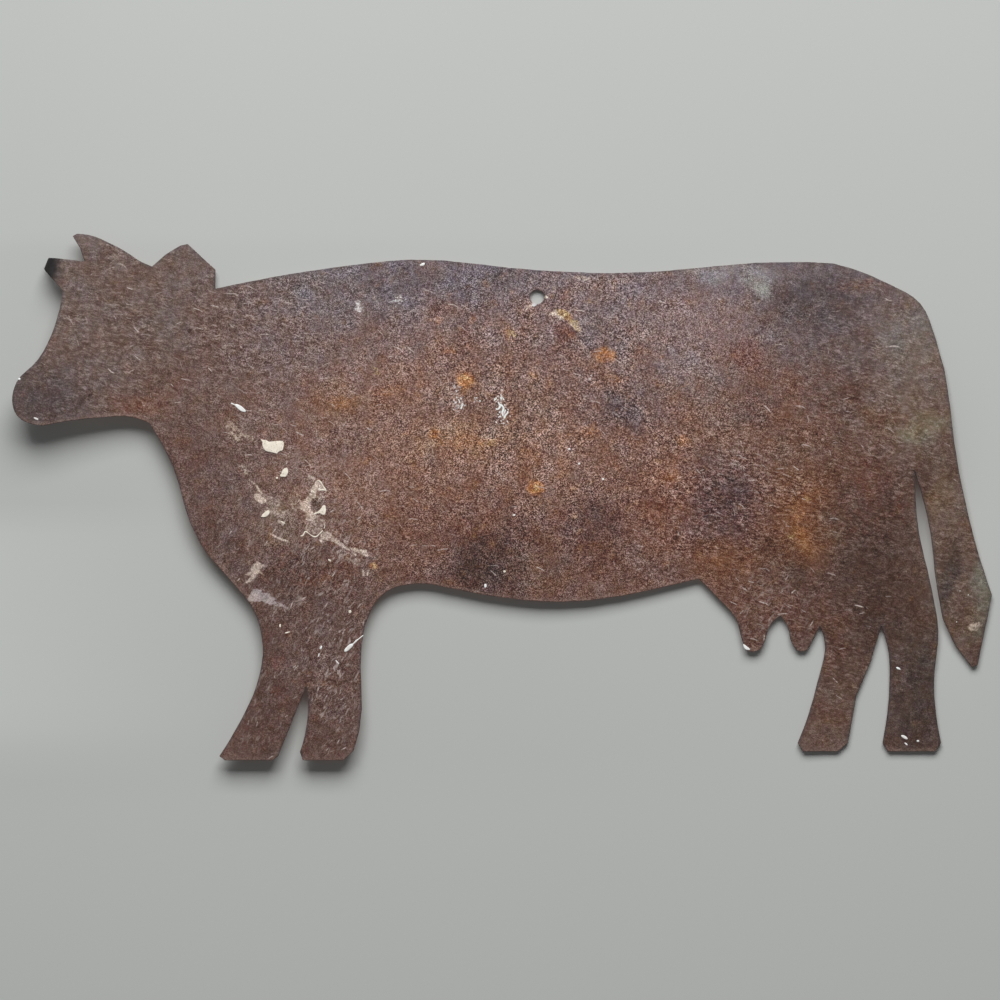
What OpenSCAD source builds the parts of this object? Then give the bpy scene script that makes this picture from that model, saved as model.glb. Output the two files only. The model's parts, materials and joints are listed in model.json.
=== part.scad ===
// Standing cow in profile, cut by hand from one iron sheet, as on an old weathervane.
// Seen from the front the head is on the left, and +Z is up. The origin is the middle of the hanging hole.

/* [Sheet] */
// Thickness of the iron sheet
sheet_t = 1.5; // [1:0.1:3]

/* [Hanging hole] */
// Width of the round hole that the cow hangs by
hole_d = 5; // [3:0.5:8]
// From the middle of the hole up to the edge of the back
hole_edge = 9.6; // [7:0.1:14]

/* [Main places] */
// From the hole forward to the end of the muzzle
muzzle_set = 187.5; // [176:0.5:205]
// From the hole down to the end of the muzzle
muzzle_drop = 37; // [30:0.5:44]
// From the hole forward to the front edge of the near foreleg, at the knee
fore_set = 98; // [85:0.5:108]
// From the hole back to the top of the slit beside the tail
hind_set = 135; // [120:0.5:155]
// From the hole down to the soles of the forehooves
sole_drop = 165.5; // [155:0.5:185]
// How much higher the hind hooves end
hind_lift = 3.2; // [0:0.1:6]
// From the hole down to the lowest part of the belly
belly_drop = 109; // [100:0.5:118]

/* [Head] */
// Top of the nose, behind the end of the muzzle
nose_in = 1.6; // [0.5:0.1:4]
// Top of the nose, above the end of the muzzle
nose_up = 6.6; // [4:0.1:10]
// Bridge of the nose, behind the top of the nose
bridge_in = 7.6; // [4:0.1:12]
// Bridge of the nose, above the top of the nose
bridge_up = 8; // [5:0.1:12]
// Middle of the face, behind the bridge of the nose
face_in = 6; // [3:0.1:10]
// Middle of the face, above the bridge of the nose
face_up = 12; // [8:0.1:16]
// Brow, behind the middle of the face
brow_in = 2.9; // [1:0.1:6]
// Brow, above the middle of the face
brow_up = 12.6; // [8:0.1:16]
// Lower lip, behind the end of the muzzle
lip_in = 1.8; // [0.5:0.1:4]
// Lower lip, below the end of the muzzle
lip_down = 5.4; // [3:0.1:8]
// Chin, behind the lower lip
chin_in = 8.2; // [5:0.1:12]
// Chin, below the lower lip
chin_down = 3.5; // [2:0.1:7]
// Underside of the chin, along the head
chin_l = 6; // [3:0.1:9]
// Rise of the chin over that length
chin_up = 0.9; // [0:0.1:2]
// Length of the jaw's sloping front part
jaw_l = 15.5; // [11:0.5:20]
// Rise of the jaw over that length
jaw_up = 1.9; // [0.5:0.1:4]
// Length of the jaw's level back part
jaw_level_l = 12; // [8:0.5:17]
// From there to the throat
throat_in = 5.6; // [3:0.1:8]
// Throat, below the level part of the jaw
throat_down = 2.1; // [1:0.1:4]

/* [Near horn] */
// Reach of the near horn in front of the brow
near_horn_out = 7; // [4:0.1:10]
// Height of the near horn's lower edge at its end, above the brow
near_horn_up = 8; // [5:0.1:11]
// Depth of the near horn at its end
near_horn_end = 4; // [2.5:0.1:6]
// Slope of that end
near_horn_slant = 1.6; // [0.5:0.1:3]
// Length of the near horn's upper edge
near_horn_l = 13.2; // [9:0.1:18]
// Fall of the near horn's upper edge towards its root
near_horn_fall = 1.4; // [0.5:0.1:3]
// Inside radius of the bend by which the near horn's tip is turned back
bend_r = 2.5; // [1.5:0.1:3.5]
// Length of the tip behind that bend
bend_l = 3.5; // [2:0.1:6]
// Width of the tip at its blunt end
bend_tip_w = 1.8; // [1:0.1:3]

/* [Far horn] */
// Height of the far horn
far_horn_h = 9; // [6:0.1:14]
// How far its tip leans forward
far_horn_lean = 4.3; // [1:0.1:7]
// Hollow of its front edge
far_horn_hollow = 0.6; // [0:0.1:1.5]
// Width of its blunt tip
far_horn_tip = 1.6; // [0.8:0.1:3]
// Slant of that tip
far_tip_slant = 0.8; // [0.2:0.1:1.6]
// Length of the flat top behind the tip
far_horn_top = 4.2; // [2:0.1:7]
// Fall of that top
far_top_fall = 0.4; // [0:0.1:1.2]
// Length of the upper half of its sloping back edge
far_horn_upper = 9; // [6:0.1:12]
// Fall of that half
far_horn_upper_fall = 3.7; // [2:0.1:6]
// Length of the lower half
far_horn_lower = 9.2; // [6:0.1:12]
// Fall of the lower half
far_horn_lower_fall = 5.6; // [3:0.1:8]
// From the foot of the far horn to the root of the ear
poll_l = 4.4; // [2:0.1:8]
// Fall from the far horn to the root of the ear
poll_fall = 2; // [0.5:0.1:4]

/* [Ear] */
// Length of the ear's front edge along the head
ear_l = 12.7; // [8:0.1:18]
// Height of the ear over its root
ear_h = 8.1; // [5:0.1:12]
// Length of the ear's back edge along the head
ear_back_l = 9.9; // [6:0.1:14]
// Fall of the ear's back edge
ear_back_fall = 9.2; // [6:0.1:12]
// Depth of the ear's lobe above the nape
ear_lobe = 6.8; // [4:0.1:10]
// Swell of the ear's front edge
ear_swell = 0.6; // [0:0.1:1.5]
// Width of the ear's blunt tip
ear_tip_w = 2.5; // [1:0.1:4]
// Fall of that tip towards the front
ear_tip_fall = 0.6; // [0:0.1:1.5]

/* [Back] */
// Withers, behind the ear
withers_l = 42; // [30:0.5:50]
// Withers, above the edge at the hole
withers_up = 0.9; // [0:0.1:4]
// From the hole forward to the top of the shoulder
shoulder_set = 45; // [36:0.5:54]
// Top of the shoulder, above the edge at the hole
shoulder_up = 3.8; // [2:0.1:7]
// From the hole back to the lowest part of the back
saddle_set = 27; // [18:0.5:38]
// Lowest part of the back, below the edge at the hole
saddle_dip = 1.1; // [0:0.1:3]
// Top of the rump, in front of the slit beside the tail
rump_in = 40; // [30:0.5:52]
// Top of the rump, above the edge at the hole
rump_up = 3; // [1:0.1:6]

/* [Tail] */
// Length of the flat top of the rump
rump_l = 11; // [7:0.5:16]
// Fall of that top
rump_fall = 0.6; // [0:0.1:3]
// Pin bone, behind the flat top of the rump
pin_in = 19; // [14:0.5:24]
// Pin bone, below the flat top of the rump
pin_down = 7; // [4:0.1:10]
// Dock, behind the pin bone
dock_in = 12; // [8:0.5:16]
// Dock, below the pin bone
dock_down = 7.4; // [5:0.1:12]
// Width of the tail at its top, beyond the slit
tail_top = 7.2; // [4:0.1:10]
// From the dock down to that place
tail_top_down = 11.8; // [7:0.5:15]
// Width of the tail beside the slit's top
tail_out = 15.8; // [10:0.1:19]
// From the tail's top down to there
tail_half = 48.4; // [40:0.2:56]
// Sweep of the tail's outer corner beyond there
tail_sweep = 11.7; // [6:0.1:16]
// From there down to the tail's outer corner
tail_brush = 43.8; // [36:0.2:52]
// Hollow of the tail's outer edge between them
tail_hollow = 0.9; // [0:0.1:3]
// From the tail's outer corner down to its tip
tail_tip_down = 25; // [20:0.5:32]
// Tip of the tail, inside the outer corner
tail_tip_in = 5.1; // [3:0.1:8]
// Width of the tail's blunt tip
tail_tip_w = 2; // [0.8:0.1:3]
// Slant of that tip
tail_tip_slant = 0.9; // [0:0.1:2]
// Width of the tail's brush where its point begins
brush_w = 17.5; // [13:0.1:22]
// From the tail's tip up to that place
brush_up = 16.5; // [12:0.5:20]
// Swell of the brush's inner edge below it
brush_swell = 1.1; // [0:0.1:1.5]
// From the hole down to the top of the slit beside the tail
slit_drop = 62.6; // [56:0.5:70]
// Width of that slit at its widest
slit_w = 4.1; // [2:0.1:6]
// Width of that slit at its narrow foot
slit_foot = 2.2; // [1:0.1:3]

/* [Hind legs] */
// From the slit's top down to its widest part
thigh_down = 21; // [16:0.5:26]
// Thigh of the far hind leg there, behind the slit's top
thigh_out = 1.4; // [0:0.1:3]
// From there down to the slit's narrow foot
gaskin_down = 18; // [13:0.5:23]
// Thigh of the far hind leg at the slit's foot, behind the slit's top
gaskin_out = 5.4; // [3:0.1:7]
// Hock of the far hind leg, behind the slit's top
hock_out = 8.4; // [6:0.1:11]
// Height of the hock over the sole
hock_h = 43; // [38:0.5:48]
// Height of the shank's waist over the sole
waist_h = 25; // [18:0.5:31]
// Waist of the far hind leg, inside its hock
waist_in = 1.6; // [0.5:0.1:3]
// Width of the far hind leg at its waist
far_hind_w = 15.8; // [12:0.1:19]
// Heel and toe of the far hind hoof, outside its waist
far_hoof_flare = 2.6; // [1:0.1:5]
// Height of the hind hooves' upright edges
hoof_h = 3; // [1.5:0.1:6]
// Cut corner at the foot of each hoof
hoof_cut = 2; // [0.5:0.1:3]
// Top of the slit between the hind legs, in front of the slit beside the tail
hind_slit_in = 12; // [9:0.1:15]
// Top of the slit between the hind legs, above the soles
hind_slit_h = 44.6; // [36:0.5:52]
// Swell of the far hind leg's front edge below that slit
shank_swell = 1.2; // [0:0.1:2.5]
// Bend of the near hind leg's back edge, in front of that slit
near_bend_in = 9; // [5:0.1:11]
// Swell of that edge between the slit and the bend
near_bend_swell = 0.6; // [0:0.1:1.5]
// Height of that bend over the sole
near_bend_h = 19.4; // [14:0.5:26]
// Heel of the near hind hoof, in front of that bend
near_heel_in = 2.9; // [1:0.1:5]
// Cut corner at that heel
near_heel_cut = 3.5; // [1:0.1:5]
// Width of the near hind hoof
near_hoof_w = 18; // [14:0.1:22]
// Front of the near hind shank, behind the toe
near_shank_in = 7.2; // [4:0.1:9]
// Height of that place over the sole
near_shank_h = 25; // [18:0.5:30]
// Front of the near hind leg below the udder, behind the toe
stifle_in = 9.5; // [6:0.1:11]
// Height of that place over the sole
stifle_h = 40.5; // [35:0.5:43]

/* [Udder] */
// Notch between the udder and the near hind leg, in front of the slit between the hind legs
crotch_in = 22; // [18:0.1:26]
// That notch, below the lowest part of the belly
crotch_down = 8.6; // [4:0.1:12]
// Back of the hind teat, in front of that notch
hind_teat_in = 2.8; // [2:0.1:5]
// Width of the hind teat
hind_teat_w = 7.4; // [5:0.1:9]
// Hind teat, below the notch behind it
hind_teat_h = 8.7; // [7:0.1:12]
// Round corners at the end of each teat, along the cow
teat_corner = 2.1; // [1.5:0.1:3]
// Height of those round corners
teat_round = 3.4; // [2:0.1:5]
// Notch between the teats, in front of the hind teat
cleft_in = 4; // [3.2:0.1:6]
// Height of that notch over the end of the hind teat
cleft_h = 12.4; // [9:0.1:15]
// Side of that notch at the hind teat, behind its top
cleft_back = 2.9; // [2:0.1:3]
// Side of that notch at the front teat, in front of its top
cleft_front = 4; // [3:0.1:4.4]
// Height of the notch's round top
cleft_round = 4.2; // [3:0.1:6]
// Back of the front teat, in front of the notch's top
fore_teat_in = 5.3; // [4.6:0.1:7]
// Width of the front teat
fore_teat_w = 8.2; // [6.5:0.1:10]
// Round corner at its front
fore_teat_corner = 1.2; // [0.8:0.1:3]
// Front teat, below the notch's top
fore_teat_h = 12.2; // [9:0.1:15]
// Neck of the front teat, in front of its end
neck_in = 2.2; // [0.5:0.1:4]
// Height of the neck over the end of the front teat
neck_h = 11; // [8:0.1:14]
// Bulge of the bag, in front of the neck
bag_in = 6; // [3:0.1:9]
// Height of that bulge over the neck
bag_h = 7; // [4:0.1:10]
// Root of the udder, in front of that bulge
root_in = 7.4; // [5:0.1:11]
// Root of the udder, above the lowest part of the belly
root_up = 8.3; // [5:0.1:12]

/* [Belly] */
// From the hole back to the lowest part of the belly
belly_set = 8; // [0:0.5:20]
// From the hole forward to the front of the belly
flank_set = 42; // [36:0.5:46]
// Front of the belly, above its lowest part
flank_up = 6.6; // [4:0.1:10]
// From the hole forward to a place between the front of the belly and the girth
fore_belly_set = 31; // [29:0.5:35]
// That place, above the lowest part of the belly
fore_belly_up = 5; // [3:0.1:7]
// From the hole forward to the girth, half way along the belly
girth_set = 20; // [12:0.5:28]
// Girth, above the lowest part of the belly
girth_up = 2.8; // [1:0.1:4.4]
// Groin, in front of the root of the udder
groin_in = 5; // [3:0.1:9]
// Groin, below the root of the udder
groin_down = 1.2; // [0:0.1:3]

/* [Forelegs] */
// Height of the forehooves' upright edges
fore_hoof_h = 1.5; // [0.5:0.1:3]
// Height of the knee over the sole
knee_h = 41; // [36:0.5:46]
// Width of both forelegs at the knee
knee_w = 35.4; // [31:0.1:40]
// Height of the near foreleg's bend over the sole
shin_h = 27; // [22:0.5:32]
// Near foreleg's bend, in front of the knee
shin_out = 2.1; // [0.5:0.1:4]
// Toe of the near forehoof, in front of the knee
toe_out = 15.5; // [11:0.1:19]
// Hollow of the near foreleg's front edge above the toe
shin_hollow = 0.8; // [0:0.1:2]
// Width of the near forehoof at its sole
near_sole_w = 19; // [15:0.1:23]
// Top of the slit between the forelegs, behind the near foreleg's front edge
fore_slit_in = 15.7; // [12:0.1:19]
// Height of that slit over the soles
fore_slit_h = 26.8; // [22:0.5:32]
// Toe of the far forehoof, in front of that slit
far_toe_in = 2.4; // [0.5:0.1:4]
// Height of that toe
far_toe_h = 3; // [1:0.1:5]
// Cut corner at that toe
far_toe_cut = 1; // [0.5:0.1:3]
// Hollow of the far foreleg's front edge above it
far_shin = 1.5; // [0:0.1:2.5]
// Heel of the far forehoof, inside the far foreleg's back edge
far_heel_in = 2.9; // [1:0.1:6]
// Pastern of the far foreleg, inside its back edge at the knee
pastern_in = 0.9; // [0.2:0.1:3]
// Height of the pastern over the sole
pastern_h = 10.5; // [8:0.5:14]
// Cut corner at the heel of the far forehoof
far_heel_cut = 3.6; // [2:0.1:6]
// Elbow, behind the far foreleg's back edge
elbow_in = 1.4; // [0.5:0.1:3]
// Elbow, above the knee
elbow_up = 8; // [5:0.1:10]
// Round corner over the elbow, behind it
armpit_in = 7.1; // [4:0.1:9]
// Round corner over the elbow, below the front of the belly
armpit_down = 3; // [2:0.1:5]

/* [Breast] */
// Dewlap, in front of the knee
dewlap_out = 32; // [27:0.1:37]
// From the throat down to the dewlap
dewlap_down = 15.5; // [11:0.5:20]
// Brisket, in front of the knee
brisket_out = 25.8; // [21:0.1:31]
// From the dewlap down to the brisket
brisket_down = 20; // [15:0.5:25]
// Foot of the brisket, in front of the knee
brisket_foot_out = 21; // [17:0.1:25]
// From the brisket down to its foot
brisket_foot_down = 9.4; // [6:0.1:13]
// Chest between the brisket and the foreleg, in front of the knee
chest_out = 11.7; // [8:0.1:15]
// From the foot of the brisket down to there
chest_down = 11; // [8:0.5:14]
// Top of the foreleg, in front of the knee
foreleg_out = 3.4; // [1:0.1:6]
// Top of the foreleg, above the knee
foreleg_up = 13; // [9:0.5:16]

/* [Plaster flakes] */
// Thickness of the plaster left on the face
flake_t = 0.3; // [0.2:0.1:0.6]
// Large flake, from the hole forward
large_flake_set = 94; // [88:0.5:100]
// Large flake, from the hole down
large_flake_drop = 53.5; // [46:0.5:60]
// Length of the large flake
large_flake_l = 8.2; // [5:0.1:10]
// Height of the large flake
large_flake_h = 4.4; // [3:0.1:6]
// Cut corners of the large flake
large_flake_cut = 1.3; // [0.5:0.1:1.4]
// Dip in the middle of the large flake's upper edge
large_flake_dip = 0.4; // [0:0.1:1]
// Upright flake, behind the large one
upright_flake_in = 3.9; // [2:0.1:6]
// Upright flake, below the large one
upright_flake_down = 7.1; // [4.6:0.1:10]
// Slanting flake, in front of the large one
slant_flake_out = 3; // [0:0.1:5]
// Slanting flake, below the large one
slant_flake_down = 21.8; // [17:0.1:26]
// Length of the small flakes
small_flake_l = 3.6; // [2:0.1:5]
// Width of the small flakes
small_flake_w = 1.9; // [1:0.1:3]
// Turn of the upright flake
upright_flake_turn = 68; // [45:1:90]
// Turn of the slanting flake
slant_flake_turn = 36; // [15:1:60]

/* [Paint drops] */
// Thickness of the dried paint drops
drop_t = 0.3; // [0.2:0.1:0.6]
// Drop on the neck, from the hole forward
neck_drop_set = 107; // [100:0.5:114]
// Drop on the neck, from the hole down
neck_drop_drop = 39.6; // [34:0.2:45]
// Length of the drop on the neck
neck_drop_l = 5.4; // [4:0.1:7]
// Width of the drop on the neck
neck_drop_w = 2.1; // [1.4:0.1:3]
// Drop on the far foreleg, inside its back edge
leg_drop_in = 4.2; // [3.4:0.1:8]
// Length of the drop on the leg
leg_drop_l = 6.2; // [3:0.1:6.6]
// Width of the drops on the leg and the teat
leg_drop_w = 1.5; // [1:0.1:2.4]
// Drop on the front teat, in front of the teat's middle
teat_drop_out = 1.4; // [0:0.1:1.6]
// Height of that drop over the teat's end
teat_drop_up = 2.2; // [2:0.1:5]
// Length of the drops on the teat and the hoof
hoof_drop_l = 3.4; // [2:0.1:4.4]
// Drop on the far hind hoof, behind the toe
hoof_drop_in = 7.7; // [5:0.1:11]
// Height of that drop over the sole
hoof_drop_up = 4.8; // [3:0.1:8]
// Fall of the drops along the cow
drop_turn = 38; // [20:1:50]

/* [Hidden] */
rust = "#705850";
plaster = "#e8dfcf";
paint = "#f2f4f2";
// Straight steps in each stretch of a smooth run, and round the hole, the bend, the flakes and the drops
curve_steps = 4;
round_steps = 24;
half_turn = 180;

// Levels, up from the hole
fore_sole = -sole_drop;
hind_sole = hind_lift - sole_drop;
belly_z = -belly_drop;

function unit(v) = v / norm(v);
function lerp(a, b, t) = a + (b - a) * t;

// The direction in which a run passes its place i, that of the circle through three places
function passing(p, i) = let (
        before = p[i] - p[i - 1],
        after = p[i + 1] - p[i])
    unit(unit(before) * norm(after) + unit(after) * norm(before));

// At its two ends a run leaves its chord by as much as it meets it on the other side
function leaving(chord, other) = 2 * (unit(chord) * other) * unit(chord) - other;
function heading(p, i) =
    len(p) == 2 ? unit(p[1] - p[0]) :
    i == 0 ? leaving(p[1] - p[0], passing(p, 1)) :
    i == len(p) - 1 ? leaving(p[i] - p[i - 1], passing(p, i - 1)) :
    passing(p, i);

// Cubic curve from a to d, by repeated lerp
function cubic(a, b, c, d, t) = let (
        ab = lerp(a, b, t),
        bc = lerp(b, c, t),
        cd = lerp(c, d, t))
    lerp(lerp(ab, bc, t), lerp(bc, cd, t), t);

// A smooth run through its places, without the last, which begins the next run
function run(p) = [for (i = [0 : len(p) - 2]) let (
        reach = norm(p[i + 1] - p[i]) / 3,
        b = p[i] + heading(p, i) * reach,
        c = p[i + 1] - heading(p, i + 1) * reach)
    for (s = [0 : curve_steps - 1]) cubic(p[i], b, c, p[i + 1], s / curve_steps)];

// The place half way from a to b, moved to the right of that way, which is outwards
function swell(a, b, out) = let (u = unit(b - a)) (a + b) / 2 + [u[1], -u[0]] * out;

// Places on the head
muzzle = [-muzzle_set, -muzzle_drop];
nose = muzzle + [nose_in, nose_up];
bridge = nose + [bridge_in, bridge_up];
face = bridge + [face_in, face_up];
brow = face + [brow_in, brow_up];
lip = muzzle + [lip_in, -lip_down];
chin = lip + [chin_in, -chin_down];
chin_back = chin + [chin_l, chin_up];
jaw = chin_back + [jaw_l, jaw_up];
jaw_back = jaw + [jaw_level_l, 0];
throat = jaw_back + [throat_in, -throat_down];

// Places on the horns and the ear
near_low = brow + [-near_horn_out, near_horn_up];
near_high = near_low + [near_horn_slant, near_horn_end];
between_horns = near_high + [near_horn_l, -near_horn_fall];
far_front = between_horns + [-far_horn_lean, far_horn_h];
far_tip = far_front + [far_horn_tip, far_tip_slant];
far_top = far_tip + [far_horn_top, -far_top_fall];
far_back = far_top + [far_horn_upper, -far_horn_upper_fall];
far_foot = far_back + [far_horn_lower, -far_horn_lower_fall];
ear_root = far_foot + [poll_l, -poll_fall];

// The near horn is flat up to a fold that lies parallel to its end, as far in as the bend is deep
bend_depth = bend_r + sheet_t;
horn_end = unit(near_high - near_low);
function far_in(p) = abs((p - near_low) * [horn_end[1], -horn_end[0]]);
fold_high = lerp(near_high, between_horns, bend_depth / far_in(between_horns));
fold_low = lerp(near_low, brow, bend_depth / far_in(brow));
ear_tip = ear_root + [ear_l, ear_h];
ear_front = ear_tip - [ear_tip_w, ear_tip_fall];
ear_back = ear_tip + [ear_back_l, -ear_back_fall];
nape = ear_back + [0, -ear_lobe];

// Places along the back, the rump and the tail
withers = [nape[0] + withers_l, hole_edge + withers_up];
shoulder = [-shoulder_set, hole_edge + shoulder_up];
over_hole = [0, hole_edge];
saddle = [saddle_set, hole_edge - saddle_dip];
rump = [hind_set - rump_in, hole_edge + rump_up];
rump_end = rump + [rump_l, -rump_fall];
pin_bone = rump_end + [pin_in, -pin_down];
dock = pin_bone + [dock_in, -dock_down];
tail_top_edge = [hind_set + tail_top, dock[1] - tail_top_down];
tail_mid = [hind_set + tail_out, tail_top_edge[1] - tail_half];
tail_corner = tail_mid + [tail_sweep, -tail_brush];
tail_tip = tail_corner + [-tail_tip_in, -tail_tip_down];
tail_end = tail_tip - [tail_tip_w, tail_tip_slant];
brush = [tail_corner[0] - brush_w, tail_tip[1] + brush_up];
tail_slit = [hind_set, -slit_drop];

// Places on the hind legs
thigh = tail_slit + [thigh_out, -thigh_down];
tail_inner = thigh + [slit_w, 0];
gaskin = [hind_set + gaskin_out, thigh[1] - gaskin_down];
tail_foot = gaskin + [slit_foot, 0];
hock = [hind_set + hock_out, hind_sole + hock_h];
far_waist = [hock[0] - waist_in, hind_sole + waist_h];
far_heel = [far_waist[0] + far_hoof_flare, hind_sole + hoof_h];
far_heel_foot = [far_heel[0] - hoof_cut, hind_sole];
far_toe = [far_waist[0] - far_hind_w - far_hoof_flare, hind_sole + hoof_h];
far_toe_foot = [far_toe[0] + hoof_cut, hind_sole];
far_shank = [far_waist[0] - far_hind_w, hind_sole + waist_h];
hind_slit = [hind_set - hind_slit_in, hind_sole + hind_slit_h];
near_bend = [hind_slit[0] - near_bend_in, hind_sole + near_bend_h];
near_heel = [near_bend[0] - near_heel_in, hind_sole + hoof_h];
near_heel_foot = [near_heel[0] - near_heel_cut, hind_sole];
near_toe = [near_heel[0] - near_hoof_w, hind_sole + hoof_h];
near_toe_foot = [near_toe[0] + hoof_cut, hind_sole];
near_shank = [near_toe[0] + near_shank_in, hind_sole + near_shank_h];
stifle = [near_toe[0] + stifle_in, hind_sole + stifle_h];

// Places on the udder and the belly
crotch = [hind_slit[0] - crotch_in, belly_z - crotch_down];
hind_teat_z = crotch[1] - hind_teat_h;
hind_teat_back = [crotch[0] - hind_teat_in, hind_teat_z + teat_round];
hind_teat_heel = [hind_teat_back[0] - teat_corner, hind_teat_z];
hind_teat_front = hind_teat_back - [hind_teat_w, 0];
hind_teat_toe = [hind_teat_front[0] + teat_corner, hind_teat_z];
cleft = [hind_teat_front[0] - cleft_in, hind_teat_z + cleft_h];
hind_teat_root = cleft + [cleft_back, -cleft_round];
fore_teat_root = cleft - [cleft_front, cleft_round];
fore_teat_z = cleft[1] - fore_teat_h;
fore_teat_back = [cleft[0] - fore_teat_in, fore_teat_z + teat_round];
fore_teat_heel = [fore_teat_back[0] - teat_corner, fore_teat_z];
fore_teat_front = fore_teat_back - [fore_teat_w, 0];
fore_teat_toe = [fore_teat_front[0] + fore_teat_corner, fore_teat_z];
neck = [fore_teat_front[0] - neck_in, fore_teat_z + neck_h];
bag = neck + [-bag_in, bag_h];
udder_root = [bag[0] - root_in, belly_z + root_up];
groin = udder_root - [groin_in, groin_down];
belly = [belly_set, belly_z];
girth = [-girth_set, belly_z + girth_up];
fore_belly = [-fore_belly_set, belly_z + fore_belly_up];
flank = [-flank_set, belly_z + flank_up];

// Places on the forelegs and the breast
knee = [-fore_set, fore_sole + knee_h];
shin = knee + [-shin_out, shin_h - knee_h];
toe = [knee[0] - toe_out, fore_sole + fore_hoof_h];
toe_foot = [toe[0] + hoof_cut, fore_sole];
near_fore_heel = [toe_foot[0] + near_sole_w, fore_sole + fore_hoof_h];
near_fore_foot = [near_fore_heel[0] - hoof_cut, fore_sole];
fore_slit = [knee[0] + fore_slit_in, fore_sole + fore_slit_h];
far_fore_toe = [fore_slit[0] - far_toe_in, fore_sole + far_toe_h];
far_fore_foot = [far_fore_toe[0] + far_toe_cut, fore_sole];
far_knee = [knee[0] + knee_w, knee[1]];
far_fore_heel = [far_knee[0] - far_heel_in, fore_sole + far_heel_cut];
far_fore_back = far_fore_heel - [far_heel_cut, far_heel_cut];
pastern = [far_knee[0] - pastern_in, fore_sole + pastern_h];
elbow = far_knee + [elbow_in, elbow_up];
armpit = [elbow[0] + armpit_in, flank[1] - armpit_down];
dewlap = [knee[0] - dewlap_out, throat[1] - dewlap_down];
brisket = [knee[0] - brisket_out, dewlap[1] - brisket_down];
brisket_foot = [knee[0] - brisket_foot_out, brisket[1] - brisket_foot_down];
chest = [knee[0] - chest_out, brisket_foot[1] - chest_down];
foreleg_top = knee + [-foreleg_out, foreleg_up];

function head_edge() = run([brow, face, bridge, nose, muzzle, lip, chin, chin_back, jaw, jaw_back, throat]);

function breast_edge() =
    run([throat, dewlap, brisket, brisket_foot, chest, foreleg_top, knee, shin,
        swell(shin, toe, -shin_hollow), toe]);

function foreleg_edge() = concat(
    [toe, toe_foot, near_fore_foot, near_fore_heel],
    run([fore_slit, swell(fore_slit, far_fore_toe, -far_shin), far_fore_toe]),
    [far_fore_toe, far_fore_foot, far_fore_back]);

function belly_edge() =
    run([far_fore_heel, pastern, far_knee, elbow, armpit, flank, fore_belly, girth, belly, groin,
        udder_root]);

function udder_edge() = concat(
    run([udder_root, bag, neck, fore_teat_front, fore_teat_toe]),
    run([fore_teat_toe, fore_teat_heel, fore_teat_back, fore_teat_root, cleft]),
    run([cleft, hind_teat_root, hind_teat_front, hind_teat_toe]),
    run([hind_teat_toe, hind_teat_heel, hind_teat_back, crotch]));

function hind_leg_edge() = concat(
    run([crotch, stifle, near_shank, near_toe]),
    [near_toe, near_toe_foot, near_heel_foot, near_heel],
    [near_bend, swell(near_bend, hind_slit, near_bend_swell)],
    run([hind_slit, swell(hind_slit, far_shank, -shank_swell), far_shank, far_toe]),
    [far_toe, far_toe_foot, far_heel_foot],
    run([far_heel, far_waist, hock, gaskin, thigh, tail_slit]));

function tail_edge() = concat(
    run([tail_slit, tail_inner, tail_foot, brush]),
    [brush, swell(brush, tail_end, brush_swell), tail_end, tail_tip],
    run([tail_corner, swell(tail_corner, tail_mid, -tail_hollow), tail_mid, tail_top_edge, dock, pin_bone,
        rump_end]));

function back_edge() = run([rump_end, rump, saddle, over_hole, shoulder, withers, nape]);

function ear_edge() =
    [nape, ear_back, ear_tip, ear_front, swell(ear_front, ear_root, ear_swell)];

function horn_edge() = concat(
    [ear_root],
    run([far_foot, far_back, far_top, far_tip]),
    [far_tip, far_front, swell(far_front, between_horns, -far_horn_hollow), between_horns],
    [fold_high, fold_low]);

function whole_edge() = concat(head_edge(), breast_edge(), foreleg_edge(), belly_edge(), udder_edge(),
    hind_leg_edge(), tail_edge(), back_edge(), ear_edge(), horn_edge());

// A flat shape of the front view, as thick as given, with its middle in the sheet's middle plane
module plate(thick) {
    rotate([90, 0, 0])
        linear_extrude(thick, center = true)
            children();
}

// A flat shape of the front view that lies on the sheet's front face
module on_front(thick) {
    translate([0, -sheet_t / 2, 0])
        rotate([90, 0, 0])
            linear_extrude(thick)
                children();
}

// The bent sheet seen along the fold, from the flat horn round to the end of the turned-back tip
module bend_profile() {
    turned = sheet_t / 2 + bend_r;
    intersection() {
        translate([bend_depth, turned])
            difference() {
                circle(bend_depth, $fn = round_steps);
                circle(bend_r, $fn = round_steps);
            }
        translate([0, -sheet_t / 2])
            square(bend_depth);
    }
    translate([0, turned])
        square([sheet_t, bend_l]);
    translate([bend_depth, -sheet_t / 2])
        square([near_horn_l, sheet_t]);
}

// What is cut off on both sides of the tip behind the bend, so that it narrows to its blunt end
module tip_sides() {
    wide = norm(near_high - near_low);
    start = sheet_t / 2 + bend_r;
    end = start + bend_l;
    translate([0, wide / 2])
        for (side = [-1, 1])
            polygon([
                [start, side * wide / 2],
                [end, side * bend_tip_w / 2],
                [end + wide, side * bend_tip_w / 2],
                [end + wide, side * wide],
                [start, side * wide]]);
}

// The near horn from its root on, in the front view, with the turned-back tip behind it
module turned_tip() {
    reach = near_horn_l;
    intersection() {
        plate(2 * reach)
            polygon([near_low, brow, between_horns, near_high]);
        translate([near_low[0], 0, near_low[1]])
            rotate([0, atan2(horn_end[0], horn_end[1]), 0])
                difference() {
                    linear_extrude(2 * reach, center = true)
                        bend_profile();
                    rotate([0, 90, 0])
                        rotate([0, 0, 90])
                            linear_extrude(2 * reach, center = true)
                                tip_sides();
                }
    }
}

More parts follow.
